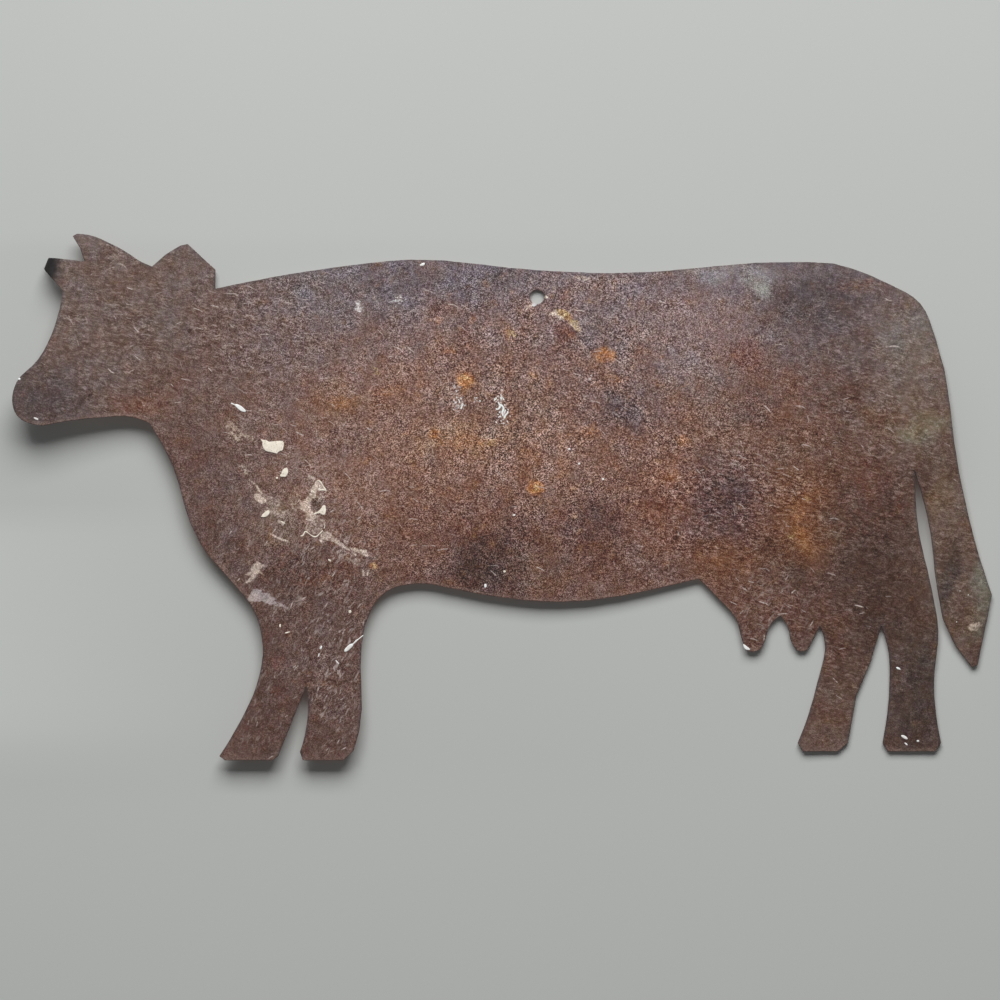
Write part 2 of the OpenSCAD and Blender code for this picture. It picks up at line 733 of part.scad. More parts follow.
module cow_sheet() {
    color(rust)
        difference() {
            union() {
                plate(sheet_t)
                    polygon(whole_edge());
                turned_tip();
            }
            rotate([90, 0, 0])
                cylinder(h = 2 * sheet_t, d = hole_d, center = true, $fn = round_steps);
        }
}

// A flake with a ragged upper edge and cut lower corners
module large_flake() {
    polygon([
        [0, large_flake_h],
        [large_flake_cut, large_flake_cut],
        [large_flake_l / 2, 0],
        [large_flake_l - large_flake_cut, large_flake_cut],
        [large_flake_l, large_flake_h],
        [large_flake_l / 2, large_flake_h - large_flake_dip]]);
}

// An oval, and a drop, which is an oval with one end drawn out to a point
function oval(length, width) = [for (i = [0 : round_steps - 1]) let (turn = 2 * half_turn * i / round_steps)
    [length * cos(turn), width * sin(turn)] / 2];
function drop(length, width) = [for (i = [0 : round_steps - 1]) let (turn = 2 * half_turn * i / round_steps)
    [length * cos(turn), width * sin(turn) * sin(turn / 2)] / 2];

module small_flake(turn) {
    rotate(turn)
        polygon(oval(small_flake_l, small_flake_w));
}

module plaster_flakes() {
    color(plaster)
        on_front(flake_t)
            translate([-large_flake_set - large_flake_l / 2, -large_flake_drop - large_flake_h / 2]) {
                large_flake();
                translate([large_flake_l / 2 + upright_flake_in, -upright_flake_down])
                    small_flake(upright_flake_turn);
                translate([large_flake_l / 2 - slant_flake_out, -slant_flake_down])
                    small_flake(slant_flake_turn);
            }
}

module paint_drop(at, length, width, turn) {
    translate(at)
        rotate(turn)
            polygon(drop(length, width));
}

module paint_drops() {
    teat_middle = fore_teat_front[0] + fore_teat_w / 2;
    color(paint)
        on_front(drop_t) {
            paint_drop([-neck_drop_set, -neck_drop_drop], neck_drop_l, neck_drop_w, half_turn - drop_turn);
            paint_drop(far_knee - [leg_drop_in, 0], leg_drop_l, leg_drop_w, drop_turn);
            paint_drop([teat_middle - teat_drop_out, fore_teat_z + teat_drop_up], hoof_drop_l, leg_drop_w,
                half_turn - drop_turn);
            paint_drop([far_toe[0] + hoof_drop_in, hind_sole + hoof_drop_up], hoof_drop_l, leg_drop_w,
                half_turn - drop_turn);
        }
}

cow_sheet();
plaster_flakes();
paint_drops();
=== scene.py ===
"""Looks of the rusted sheet-iron cow: the cut sheet with its rust, and the plaster and paint stuck to it."""

import json
import math

import bpy
import numpy as np
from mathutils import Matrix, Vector

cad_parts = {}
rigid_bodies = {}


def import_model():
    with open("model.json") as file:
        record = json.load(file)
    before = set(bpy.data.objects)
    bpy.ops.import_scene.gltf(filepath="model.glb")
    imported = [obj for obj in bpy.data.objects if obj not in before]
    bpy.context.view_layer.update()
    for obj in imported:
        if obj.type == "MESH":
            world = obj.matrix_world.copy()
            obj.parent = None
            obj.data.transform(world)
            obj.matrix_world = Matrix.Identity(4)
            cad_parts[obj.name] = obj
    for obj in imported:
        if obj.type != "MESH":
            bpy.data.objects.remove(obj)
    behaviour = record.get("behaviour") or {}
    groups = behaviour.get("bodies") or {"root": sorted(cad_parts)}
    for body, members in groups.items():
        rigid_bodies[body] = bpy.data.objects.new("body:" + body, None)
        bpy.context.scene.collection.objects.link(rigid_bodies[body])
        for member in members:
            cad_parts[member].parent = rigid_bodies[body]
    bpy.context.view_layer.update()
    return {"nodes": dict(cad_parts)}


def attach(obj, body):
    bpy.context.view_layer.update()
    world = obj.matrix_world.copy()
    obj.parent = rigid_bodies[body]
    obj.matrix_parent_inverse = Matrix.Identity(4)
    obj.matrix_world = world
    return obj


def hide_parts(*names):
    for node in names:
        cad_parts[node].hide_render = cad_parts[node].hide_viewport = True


for left_over in list(bpy.data.objects):
    bpy.data.objects.remove(left_over)
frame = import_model()

MM = 0.001
FACE_Y = -0.75 * MM              # weathered face of the sheet
BACK_Y = 0.75 * MM
PICTURE = 1000                   # width of the picture, in picture units
UNIT = MM / 2.8                  # one picture unit on the sheet's face


def across(px):
    """Distance of a mark along the cow from the hanging hole, from its place in the picture."""
    return (px - 537.0) * UNIT


def up(py):
    """Height of a mark above the hanging hole, from its place in the picture."""
    return (297.0 - py) * UNIT


def tone(red, green, blue):
    """A colour as it is read off a colour card, 0 to 255, as light."""
    def light(level):
        level /= 255.0
        return level / 12.92 if level < 0.04045 else ((level + 0.055) / 1.055) ** 2.4
    return light(red), light(green), light(blue)


# ---------------------------------------------------------------- camera and light

CAMERA_AWAY = 2.0
SENSOR = 36.0
view_mid = Vector((across(PICTURE / 2), 0.0, up(PICTURE / 2)))


def make_camera():
    data = bpy.data.cameras.new("front_camera")
    data.sensor_width = SENSOR
    data.lens = SENSOR * (CAMERA_AWAY + FACE_Y) / (PICTURE * UNIT)
    data.clip_start, data.clip_end = 0.05, 30.0
    camera = bpy.data.objects.new("front_camera", data)
    bpy.context.scene.collection.objects.link(camera)
    camera.location = view_mid + Vector((0.0, -CAMERA_AWAY, 0.0))
    camera.rotation_euler = (math.radians(90), 0.0, 0.0)
    bpy.context.scene.camera = camera


def soft_lamp(name, place, width, height, power):
    lamp = bpy.data.lights.new(name, "AREA")
    lamp.shape, lamp.size, lamp.size_y, lamp.energy = "RECTANGLE", width, height, power
    holder = bpy.data.objects.new(name, lamp)
    bpy.context.scene.collection.objects.link(holder)
    holder.location = place
    holder.rotation_euler = (view_mid - holder.location).to_track_quat("-Z", "Y").to_euler()


make_camera()
soft_lamp("window_light", (-0.04, -1.20, 1.15), 1.50, 1.00, 38.5)
soft_lamp("rear_light", (0.10, 0.80, 0.60), 0.60, 0.50, 11.0)
bpy.context.scene.view_settings.view_transform = "Standard"


# ---------------------------------------------------------------- short ways to add finish nodes

class Palette:
    """One node tree, and the few kinds of node that the finishes are mixed from."""

    def __init__(self, tree):
        self.tree = tree

    def add(self, kind, **settings):
        made = self.tree.nodes.new("ShaderNode" + kind)
        for key, value in settings.items():
            setattr(made, key, value)
        return made

    def feed(self, socket, value):
        if isinstance(value, bpy.types.NodeSocket):
            self.tree.links.new(value, socket)
        else:
            socket.default_value = value

    def reckon(self, how, *values, clamp=False):
        made = self.add("Math", operation=how, use_clamp=clamp)
        for socket, value in zip(made.inputs, values):
            self.feed(socket, value)
        return made.outputs[0]

    def times(self, first, second):
        return self.reckon("MULTIPLY", first, second)

    def plus(self, first, second, clamp=False):
        return self.reckon("ADD", first, second, clamp=clamp)

    def minus(self, first, second):
        return self.reckon("SUBTRACT", first, second)

    def most(self, first, *others):
        for other in others:
            first = self.reckon("MAXIMUM", first, other)
        return first

    def total(self, *parts):
        """Sum of pairs of a value and its weight."""
        result = None
        for value, weight in parts:
            part = self.times(value, weight)
            result = part if result is None else self.plus(result, part)
        return result

    def fit(self, value, low, high, to_low=0.0, to_high=1.0, soft=False):
        made = self.add("MapRange", interpolation_type="SMOOTHSTEP" if soft else "LINEAR")
        for socket, given in zip(made.inputs, (value, low, high, to_low, to_high)):
            self.feed(socket, given)
        return made.outputs[0]

    def mix(self, share, under, over, how="MIX", clamp=False):
        made = self.add("Mix", data_type="RGBA", blend_type=how, clamp_factor=True, clamp_result=clamp)
        self.feed(made.inputs[0], share)
        for socket, value in ((made.inputs[6], under), (made.inputs[7], over)):
            self.feed(socket, (*value, 1.0) if isinstance(value, tuple) else value)
        return made.outputs[2]

    def tint(self, colour, factors):
        return self.mix(1.0, colour, factors, "MULTIPLY")

    def gamma(self, colour, power):
        made = self.add("Gamma")
        self.feed(made.inputs["Color"], colour)
        made.inputs["Gamma"].default_value = power
        return made.outputs[0]

    def cloud(self, where, scale, detail=2.0, rough=0.5):
        made = self.add("TexNoise", noise_dimensions="3D")
        for label, value in (("Vector", where), ("Scale", scale), ("Detail", detail), ("Roughness", rough)):
            self.feed(made.inputs[label], value)
        return made.outputs["Fac"]

    def cells(self, where, scale, dimensions):
        made = self.add("TexVoronoi", voronoi_dimensions=dimensions, feature="F1")
        self.feed(made.inputs["Vector"], where)
        self.feed(made.inputs["Scale"], scale)
        return made.outputs

    def stretch(self, where, turn, scale):
        made = self.add("Mapping", vector_type="TEXTURE")
        self.feed(made.inputs["Vector"], where)
        made.inputs["Rotation"].default_value = (0.0, math.radians(turn), 0.0)
        made.inputs["Scale"].default_value = scale
        return made.outputs[0]

    def shift(self, how, where, change):
        """A place moved or scaled by another."""
        made = self.add("VectorMath", operation=how)
        self.feed(made.inputs[0], where)
        self.feed(made.inputs["Scale" if how == "SCALE" else 1], change)
        return made.outputs[0]

    def turned(self, where, axis, angle):
        made = self.add("VectorRotate", rotation_type=axis)
        self.feed(made.inputs["Vector"], where)
        self.feed(made.inputs["Angle"], angle)
        return made.outputs[0]

    def apart(self, kind, value):
        """The three parts of a colour or of a place."""
        made = self.add("Separate" + kind)
        self.feed(made.inputs[0], value)
        return made.outputs

    def together(self, kind, *values):
        made = self.add("Combine" + kind)
        for socket, value in zip(made.inputs, values):
            self.feed(socket, value)
        return made.outputs[0]

    def mark(self, name):
        return self.add("Attribute", attribute_name=name).outputs["Fac"]

    def bump(self, height, strength, distance):
        made = self.add("Bump")
        made.inputs["Strength"].default_value = strength
        made.inputs["Distance"].default_value = distance
        self.feed(made.inputs["Height"], height)
        return made.outputs[0]

    def use(self, recipe, **values):
        made = self.add("Group", node_tree=recipe)
        for label, value in values.items():
            self.feed(made.inputs[label.replace("_", " ")], value)
        return made.outputs


def write_recipe(name, takes, gives, steps):
    """A node group for more than one finish. An input without a value is a place, every other one is a number."""
    tree = bpy.data.node_groups.new(name, "ShaderNodeTree")
    for label, value in takes.items():
        kind = "NodeSocketVector" if value is None else "NodeSocketFloat"
        socket = tree.interface.new_socket(label, in_out="INPUT", socket_type=kind)
        if value is not None:
            socket.default_value = value
    for label in gives:
        tree.interface.new_socket(label, in_out="OUTPUT", socket_type="NodeSocketFloat")
    source = tree.nodes.new("NodeGroupInput").outputs
    sink = tree.nodes.new("NodeGroupOutput").inputs
    for label, result in steps(Palette(tree), source).items():
        tree.links.new(result, sink[label])
    return tree


def ragged_steps(p, given):
    """A mark with its edge broken up and sharpened."""
    coarse = p.cloud(given["Place"], given["Scale"], 3.0, 0.6)
    fine = p.cloud(given["Place"], p.times(given["Scale"], 4.3), 2.0, 0.6)
    shift = p.times(p.minus(p.total((coarse, 0.65), (fine, 0.35)), 0.5), given["Break up"])
    level = p.minus(p.plus(given["Mark"], shift), 0.5)
    sharp = p.plus(p.times(level, given["Sharpness"]), 0.5, clamp=True)
    return {"Mark": p.times(sharp, p.fit(given["Mark"], 0.0, 0.12))}


def grain_steps(p, given):
    """Salt and pepper of coarse rust, and the slower mottling round it, each from about -1 to 1."""
    def swell(share, detail, low, high):
        return p.fit(p.cloud(given["Place"], p.times(given["Scale"], share), detail, 0.6), low, high, -1.0, 1.0)

    crumbs = p.apart("Color", p.cells(given["Place"], given["Scale"], "3D")["Color"])
    dots = p.fit(crumbs[0], 0.0, 1.0, -1.0, 1.0)
    return {"Grain": p.total((dots, 1.04), (swell(0.6, 1.0, 0.34, 0.66), 0.12)),
            "Mottle": p.total((swell(0.22, 2.0, 0.32, 0.68), 0.6), (swell(0.09, 2.0, 0.32, 0.68), 0.6))}


def streak_steps(p, given):
    """Short pale streaks, all lying about one way."""
    wander = p.add("TexNoise", noise_dimensions="3D")
    p.feed(wander.inputs["Vector"], given["Place"])
    wander.inputs["Scale"].default_value = 170.0
    wander.inputs["Detail"].default_value = 1.0
    bent = p.shift("ADD", given["Place"], p.shift("SCALE", wander.outputs["Color"], 0.0035))
    long = p.shift("MULTIPLY", p.turned(bent, "Y_AXIS", p.reckon("RADIANS", given["Turn"])), (0.24, 1.0, 1.0))
    fibres = p.cloud(long, given["Scale"], 2.0, 0.6)
    return {"Streaks": p.fit(fibres, given["From"], p.plus(given["From"], 0.11)),
            "Weave": p.fit(fibres, 0.3, 0.7, -1.0, 1.0)}


def hair_steps(p, given):
    """Single curved hairs, one in each cell that has its share, few of them bright and most faint."""
    x, y, z = p.apart("XYZ", given["Place"])
    bend = p.times(p.minus(p.cloud(given["Place"], 240.0, 1.0), 0.5), 0.0012)
    shift = p.plus(given["Shift"], p.times(y, 10.0))
    flat = p.together("XYZ", p.plus(p.plus(x, shift), bend), p.plus(p.plus(z, bend), shift))
    sized = p.shift("SCALE", flat, p.reckon("DIVIDE", 1.0, given["Cell"]))
    cells = p.cells(sized, 1.0, "2D")
    lean, reach, light = p.apart("Color", cells["Color"])
    turn = p.reckon("RADIANS", p.plus(given["Turn"], p.times(p.minus(lean, 0.5), given["Spread"])))
    local = p.turned(p.shift("SUBTRACT", sized, cells["Position"]), "Z_AXIS", p.times(turn, -1.0))
    ends = p.apart("XYZ", local)
    along = p.reckon("ABSOLUTE", ends[0])
    curl = p.times(p.times(along, along), p.minus(reach, 0.5))
    aside = p.reckon("ABSOLUTE", p.plus(ends[1], curl))
    thin = p.fit(aside, given["Width"], p.times(given["Width"], 0.3), soft=True)
    length = p.times(given["Length"], p.fit(reach, 0.0, 1.0, 0.5, 1.0))
    short = p.fit(along, length, p.times(length, 0.5), soft=True)
    strength = p.reckon("POWER", p.fit(light, 0.0, given["Share"], 1.0, 0.0), 1.6)
    kept = p.reckon("LESS_THAN", light, given["Share"])
    return {"Hairs": p.times(p.times(thin, short), p.times(kept, p.fit(strength, 0.0, 1.0, 0.12, 1.0)))}


ragged_mark = write_recipe(
    "ragged_mark", {"Place": None, "Mark": 0.0, "Scale": 600.0, "Break up": 1.6, "Sharpness": 3.0},
    ["Mark"], ragged_steps)
rust_grain = write_recipe("rust_grain", {"Place": None, "Scale": 1300.0}, ["Grain", "Mottle"], grain_steps)
streak_marks = write_recipe(
    "streak_marks", {"Place": None, "Turn": 0.0, "Scale": 1700.0, "From": 0.56}, ["Streaks", "Weave"], streak_steps)
hair_marks = write_recipe(
    "hair_marks", {"Place": None, "Cell": 0.0025, "Turn": 0.0, "Spread": 60.0, "Length": 0.4, "Width": 0.08,
                   "Share": 0.5, "Shift": 0.0}, ["Hairs"], hair_steps)


# ---------------------------------------------------------------- finishes

def new_finish(name):
    finish = bpy.data.materials.new(name)
    finish.use_nodes = True
    finish.node_tree.nodes.clear()
    p = Palette(finish.node_tree)
    surface = p.add("BsdfPrincipled")
    p.feed(p.add("OutputMaterial").inputs["Surface"], surface.outputs[0])
    return finish, p, surface, p.add("TexCoord").outputs["Object"]


def clouded_ground_and_sheen(p, place, patchy):
    """Tones of the washes, with the painted sheen along the top of the back, under slow clouds of browner and greyer
    rust.
    """
    ground_and_sheen = p.add("Attribute", attribute_name="ground_and_sheen").outputs["Color"]
    drift = p.fit(p.cloud(place, 65.0, 4.0, 0.62), 0.34, 0.66)
    colour = p.mix(p.times(drift, 0.8), p.tint(ground_and_sheen, (1.04, 1.06, 1.10)), p.tint(ground_and_sheen, (0.98, 0.84, 0.76)))
    share = p.times(patchy, p.fit(p.mark("wisps"), 0.0, 1.0, 0.6, 0.8))
    return p.mix(share, p.tint(colour, (1.13, 1.15, 1.17)), p.tint(colour, (0.84, 0.77, 0.75)))


def with_blooms(p, place, colour, ragged):
    """Dark stains, then blooms of fresh orange, yellow and red rust."""
    colour = p.mix(p.times(ragged("stain", 170.0, 1.3, 1.5), 0.5), colour, tone(58, 42, 39))
    bloom_tone = p.mix(p.fit(p.cloud(place, 900.0, 2.0), 0.4, 0.65), tone(148, 92, 52), tone(206, 138, 72))
    share = p.times(ragged("bloom", 420.0, 1.6, 1.4), p.fit(p.mark("bloom"), 0.1, 1.0, 0.3, 0.85))
    colour = p.mix(share, colour, bloom_tone)
    blotch = p.fit(p.cloud(place, 330.0, 3.0, 0.65), 0.36, 0.64)
    colour = p.mix(p.times(p.mark("amber"), p.fit(blotch, 0.0, 1.0, 0.12, 0.6)), colour, tone(130, 80, 44))
    ochre = p.fit(p.cloud(place, 300.0, 3.0, 0.66), 0.60, 0.72)
    colour = p.mix(p.times(ochre, p.fit(p.mark("grit"), 0.1, 1.0, 0.1, 0.4)), colour, tone(154, 114, 74))
    stripes = p.fit(p.cloud(p.stretch(place, -25.0, (1.7, 1.0, 0.35)), 1000.0, 1.0), 0.42, 0.58)
    yellow_tone = p.mix(stripes, tone(136, 98, 50), tone(214, 186, 134))
    colour = p.mix(p.times(ragged("yellow", 520.0, 2.2, 2.0), 0.8), colour, yellow_tone)
    return p.mix(p.times(ragged("red", 380.0, 2.2, 1.4), 0.4), colour, tone(108, 52, 38))


def with_grain(p, place, colour, rust, brushed, pits):
    """Salt and pepper grain, felted in the middle and drawn out into streaks where the sheet was brushed."""
    grit = p.mark("grit")
    fibres = p.most(p.use(streak_marks, Place=place, Turn=48.0, Scale=1700.0)["Weave"],
                    p.use(streak_marks, Place=place, Turn=-68.0, Scale=1650.0)["Weave"], brushed["Weave"])
    depth = p.total((rust["Grain"], p.fit(grit, 0.0, 1.0, 0.07, 0.31)),
                    (rust["Mottle"], p.fit(grit, 0.0, 1.0, 0.058, 0.060)),
                    (p.minus(fibres, 0.36), p.fit(grit, 0.0, 1.0, 0.02, 0.07)),
                    (brushed["Weave"], p.fit(p.mark("wisps"), 0.0, 1.0, 0.015, 0.13)))
    depth = p.times(depth, p.fit(p.cloud(place, 110.0, 3.0), 0.3, 0.7, 0.64, 1.36))
    depth = p.minus(p.plus(depth, p.times(p.reckon("ABSOLUTE", depth), 0.16)), 0.024)
    hue = p.times(p.fit(p.cloud(place, 150.0, 3.0, 0.6), 0.3, 0.7, -1.0, 1.0), p.fit(grit, 0.0, 1.0, 0.010, 0.022))
    green = p.fit(p.cloud(place, 520.0, 2.0, 0.5), 0.3, 0.7, -0.007, 0.007)
    lift = p.together("Color", p.total((depth, 1.0), (hue, 1.0), (green, -0.5)), p.plus(depth, green),
                      p.total((depth, 1.0), (hue, -1.0), (green, -0.5)))
    # the grain is added to the colour as an eye sees it, not as light
    colour = p.gamma(p.mix(1.0, p.gamma(colour, 1.0 / 2.2), lift, "ADD", clamp=True), 2.2)
    return p.mix(p.times(pits, p.fit(grit, 0.0, 1.0, 0.08, 0.3)), colour, tone(52, 36, 33))


def all_hairs(p, place):
    """How strongly pale hairs and flecks cover a place."""
    def hairs(cell, turn, spread, width, share, shift):
        return p.use(hair_marks, Place=place, Cell=cell, Turn=turn, Spread=spread, Length=0.5, Width=width,
                     Share=share, Shift=shift)[0]

    body_share = p.times(p.mark("hairs"), 0.9)
    leg_share = p.times(p.mark("leg_hairs"), p.fit(p.cloud(place, 230.0, 2.0), 0.40, 0.60, 0.25, 1.0))
    single = p.most(hairs(0.0050, -19.0, 55.0, 0.048, body_share, 0.31),
                    p.times(hairs(0.0034, -26.0, 120.0, 0.05, body_share, 0.93), 0.75),
                    hairs(0.0032, 52.0, 70.0, 0.085, p.times(leg_share, 0.8), 0.57))
    single = p.times(single, p.fit(p.cloud(place, 1500.0, 1.0), 0.38, 0.56, 0.35, 1.0))
    flecks = p.most(p.use(streak_marks, Place=place, Turn=58.0, Scale=1250.0, From=0.57)["Streaks"],
                    p.use(streak_marks, Place=place, Turn=62.0, Scale=760.0, From=0.59)["Streaks"])
    return p.most(single, p.times(p.times(flecks, leg_share), 0.68))


def with_rim(p, colour, patchy, grain):
    """The cut rim: a painted shade and dark reflection along the edges that face up and sideways, paler along the
    edges that face down, and near-black at the horn's bent tip.
    """
    rim, low = p.mark("rim"), p.mark("rim_low")
    # painted shade and dark reflection along the cut's edges, strongest where they face up or sideways and gone where
    # they face down
    near = p.plus(rim, p.times(p.minus(patchy, 0.5), 0.9))
    near = p.fit(near, 0.2, 1.2, 1.0, 0.0, soft=True)
    colour = p.mix(p.times(near, p.fit(low, 0.2, 0.8, 0.42, 0.0)), colour, tone(62, 58, 60))
    # paler along the cut's edges that face down
    worn = p.times(p.fit(low, 0.4, 0.9), p.fit(grain, -0.6, 0.8, 0.3, 1.0))
    worn = p.times(p.fit(rim, 0.2, 1.9, 1.0, 0.0, soft=True), worn)
    colour = p.mix(p.times(worn, 0.5), colour, tone(158, 132, 122))
    # near-black over the horn's bent tip
    return p.mix(p.mark("dark_horn_tip"), colour, tone(22, 20, 21))


def rusted_iron_finish():
    finish, p, surface, place = new_finish("rusted_iron")

    def ragged(mark, scale, break_up, sharpness):
        return p.use(ragged_mark, Place=place, Mark=p.mark(mark), Scale=scale, Break_up=break_up,
                     Sharpness=sharpness)[0]

    rust = p.use(rust_grain, Place=place, Scale=3600.0)
    brushed = p.use(streak_marks, Place=place, Turn=-13.0, Scale=1500.0, From=0.56)
    patchy = p.fit(p.cloud(place, 150.0, 4.0, 0.62), 0.3, 0.7)
    pits = p.fit(p.cloud(place, 760.0, 3.0, 0.7), 0.42, 0.30)
    crust = p.cloud(place, 300.0, 4.0, 0.65)
    film = ragged("film", 1000.0, 2.0, 2.2)
    milk_and_hole_glint = ragged("milk_and_hole_glint", 1100.0, 4.2, 8.0)
    hairs = all_hairs(p, place)
    streaks = p.times(brushed["Streaks"], p.fit(p.mark("wisps"), 0.0, 1.0, 0.03, 0.16))

    colour = with_blooms(p, place, clouded_ground_and_sheen(p, place, patchy), ragged)
    # thin films of plaster and paint rubbed into the rust
    colour = p.mix(p.times(film, 0.88), colour, tone(208, 188, 174))
    colour = p.mix(p.times(ragged("ash", 1000.0, 1.8, 2.4), 0.76), colour, tone(184, 170, 168))
    colour = with_grain(p, place, colour, rust, brushed, pits)
    colour = p.mix(streaks, colour, tone(166, 152, 148))
    colour = p.mix(p.times(hairs, 0.95), colour, tone(214, 198, 192))
    # thick white paint, and a painted highlight on the hole's lower rim
    colour = p.mix(p.times(milk_and_hole_glint, 0.95), colour, tone(228, 226, 226))
    p.feed(surface.inputs["Base Color"], with_rim(p, colour, patchy, rust["Grain"]))

    p.feed(surface.inputs["Roughness"], p.fit(p.cloud(place, 620.0, 3.0, 0.6), 0.3, 0.7, 0.56, 0.78))
    surface.inputs["Specular IOR Level"].default_value = 0.32
    height = p.total((rust["Grain"], 0.35), (crust, 1.2), (pits, -0.5), (p.most(film, milk_and_hole_glint), 0.6), (hairs, 0.3))
    p.feed(surface.inputs["Normal"], p.bump(height, 0.35, 0.12 * MM))
    return finish


def plaster_finish():
    finish, p, surface, place = new_finish("plaster")
    body = p.fit(p.cloud(place, 700.0, 3.0, 0.6), 0.3, 0.7)
    dirt = p.fit(p.cloud(place, 2100.0, 1.0, 0.6), 0.58, 0.72)
    colour = p.mix(body, tone(228, 218, 202), tone(252, 242, 226))
    p.feed(surface.inputs["Base Color"], p.mix(p.times(dirt, 0.5), colour, tone(150, 132, 112)))
    surface.inputs["Roughness"].default_value = 0.9
    surface.inputs["Specular IOR Level"].default_value = 0.25
    grain = p.use(rust_grain, Place=place, Scale=1500.0)["Grain"]
    p.feed(surface.inputs["Normal"], p.bump(grain, 0.3, 0.06 * MM))
    return finish


def dried_paint_finish():
    finish, p, surface, place = new_finish("dried_paint")
    body = p.fit(p.cloud(place, 900.0, 2.0, 0.5), 0.35, 0.65)
    dull = p.fit(p.cloud(place, 1500.0, 2.0, 0.6), 0.62, 0.76)
    colour = p.mix(body, tone(232, 226, 222), tone(244, 248, 246))
    p.feed(surface.inputs["Base Color"], p.mix(p.times(dull, 0.4), colour, tone(170, 160, 158)))
    surface.inputs["Roughness"].default_value = 0.5
    grain = p.use(rust_grain, Place=place, Scale=1100.0)["Grain"]
    p.feed(surface.inputs["Normal"], p.bump(grain, 0.2, 0.05 * MM))
    return finish


rusted_iron = rusted_iron_finish()
plaster = plaster_finish()
dried_paint = dried_paint_finish()


# ---------------------------------------------------------------- modelling helpers

def only(piece):
    """Leaves one piece selected and active."""
    bpy.ops.object.select_all(action="DESELECT")
    piece.select_set(True)
    bpy.context.view_layer.objects.active = piece


def edit(mode="VERT"):
    bpy.ops.object.mode_set(mode="EDIT")
    bpy.ops.mesh.select_mode(type=mode)


def edit_all():
    edit()
    bpy.ops.mesh.select_all(action="SELECT")


def done():
    bpy.ops.object.mode_set(mode="OBJECT")


def corners(mesh):
    return np.array([vert.co for vert in mesh.vertices])


def move_corners(mesh, co):
    mesh.vertices.foreach_set("co", co.astype(np.float32).ravel())
    mesh.update()


def sway(x, z):
    """How far the old sheet waves towards its back at a place, in metres."""
    slow = 0.11 * np.sin(x / 0.031 + 0.7) * np.cos(z / 0.043 - 0.4) + 0.07 * np.sin(x / 0.017 - z / 0.026 + 1.9)
    dent = 0.10 * np.exp(-((x - 0.012) ** 2 + (z + 0.085) ** 2) / 0.021 ** 2)
    swell = 0.09 * np.exp(-((x - 0.098) ** 2 + (z + 0.031) ** 2) / 0.026 ** 2)
    return (slow - dent + swell) * MM


def finish_piece(piece, finish, replaces=None):
    bpy.ops.object.shade_smooth_by_angle(angle=math.radians(40))
    piece.data.materials.clear()
    piece.data.materials.append(finish)
    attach(piece, "root")
    if replaces:
        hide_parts(replaces)


# ---------------------------------------------------------------- the cut sheet

SHARP = math.radians(50)                                # edges of the cut turn by more than this
GRID = 1.5 * MM                                         # distance between the sheet's grid lines
CLOSE_GRID = 0.5 * MM
CLOSE_AREAS = ((222, 372, 420, 612), (520, 602, 274, 342))   # left, right, top, bottom in picture units
HOLE_ROUNDING = 0.42 * MM
RIM_ROUNDING = 0.26 * MM
HOLE_REACH = 2.6 * MM                                   # a little more than the hole's radius
RIPPLE = 0.028 * MM                                     # height of the waves that the shears left along the rim
RIPPLE_REACH = 1.8 * MM
BENT_TIP_X = -170 * MM                                  # the horn's bent tip lies left of this


def find_rims(mesh, co):
    """Edges of the cut on the front and the back, each with the direction that faces out of the sheet."""
    beside = {}
    for face in mesh.polygons:
        for pair in face.edge_keys:
            beside.setdefault(pair, []).append(face.normal.copy())
    rims = []
    for (first, second), normals in beside.items():
        if len(normals) == 2 and normals[0].angle(normals[1]) > SHARP:
            side = min(normals, key=lambda normal: abs(normal.y))
            if abs(co[first][1] - co[second][1]) < 1.2 * MM:
                rims.append((co[first], co[second], (side.x, side.z)))
    return rims


def nearest_rim(points, rims):
    """Distance of each point to the cut's nearest edge, with the direction out of the sheet there."""
    best, pick = np.full(len(points), np.inf), np.zeros(len(points), int)
    for number, (start, end, _) in enumerate(rims):
        way = end - start
        share = np.clip(((points - start) @ way) / max(way @ way, 1e-12), 0.0, 1.0)
        gap = np.linalg.norm(points - start - share[:, None] * way, axis=1)
        closer = gap < best
        best[closer], pick[closer] = gap[closer], number
    return best, np.array([out for _, _, out in rims])[pick]


def cut_by_planes(first, last, pitch, normal):
    place = first
    while place < last:
        bpy.ops.mesh.select_all(action="SELECT")
        bpy.ops.mesh.bisect(plane_co=tuple(place * n for n in normal), plane_no=normal)
        place += pitch


def cut_grid(left, right, bottom, top, pitch):
    cut_by_planes(left, right, pitch, (1.0, 0.0, 0.0))
    cut_by_planes(bottom, top, pitch, (0.0, 0.0, 1.0))


def clear_selection(mesh):
    for part in (mesh.vertices, mesh.edges, mesh.polygons):
        part.foreach_set("select", np.zeros(len(part), bool))


def round_edges(mesh):
    """The hole's front edge is worn round, every other edge of the cut only loses its sharpness."""
    clear_selection(mesh)
    for vert in mesh.vertices:
        vert.select = math.hypot(vert.co.x, vert.co.z) < HOLE_REACH and vert.co.y < 0
    edit()
    bpy.ops.mesh.bevel(offset=HOLE_ROUNDING, segments=3, affect="EDGES", clamp_overlap=False)
    bpy.ops.mesh.select_all(action="DESELECT")
    bpy.ops.mesh.select_mode(type="EDGE")
    bpy.ops.mesh.edges_select_sharp(sharpness=SHARP)
    bpy.ops.mesh.bevel(offset=RIM_ROUNDING, segments=2, affect="EDGES", clamp_overlap=False)
    bpy.ops.mesh.select_mode(type="VERT")


def cut_close_grid(mesh, left, right, top, bottom):
    """A closer grid on the face, for the marks that are seen best."""
    left, right, top, bottom = across(left), across(right), up(top), up(bottom)
    clear_selection(mesh)
    for face in mesh.polygons:
        mid = face.center
        face.select = face.normal.y < -0.9 and left < mid.x < right and bottom < mid.z < top
    edit("FACE")
    bpy.ops.mesh.hide(unselected=True)
    cut_grid(left, right, bottom, top, CLOSE_GRID)
    bpy.ops.mesh.reveal()
    done()


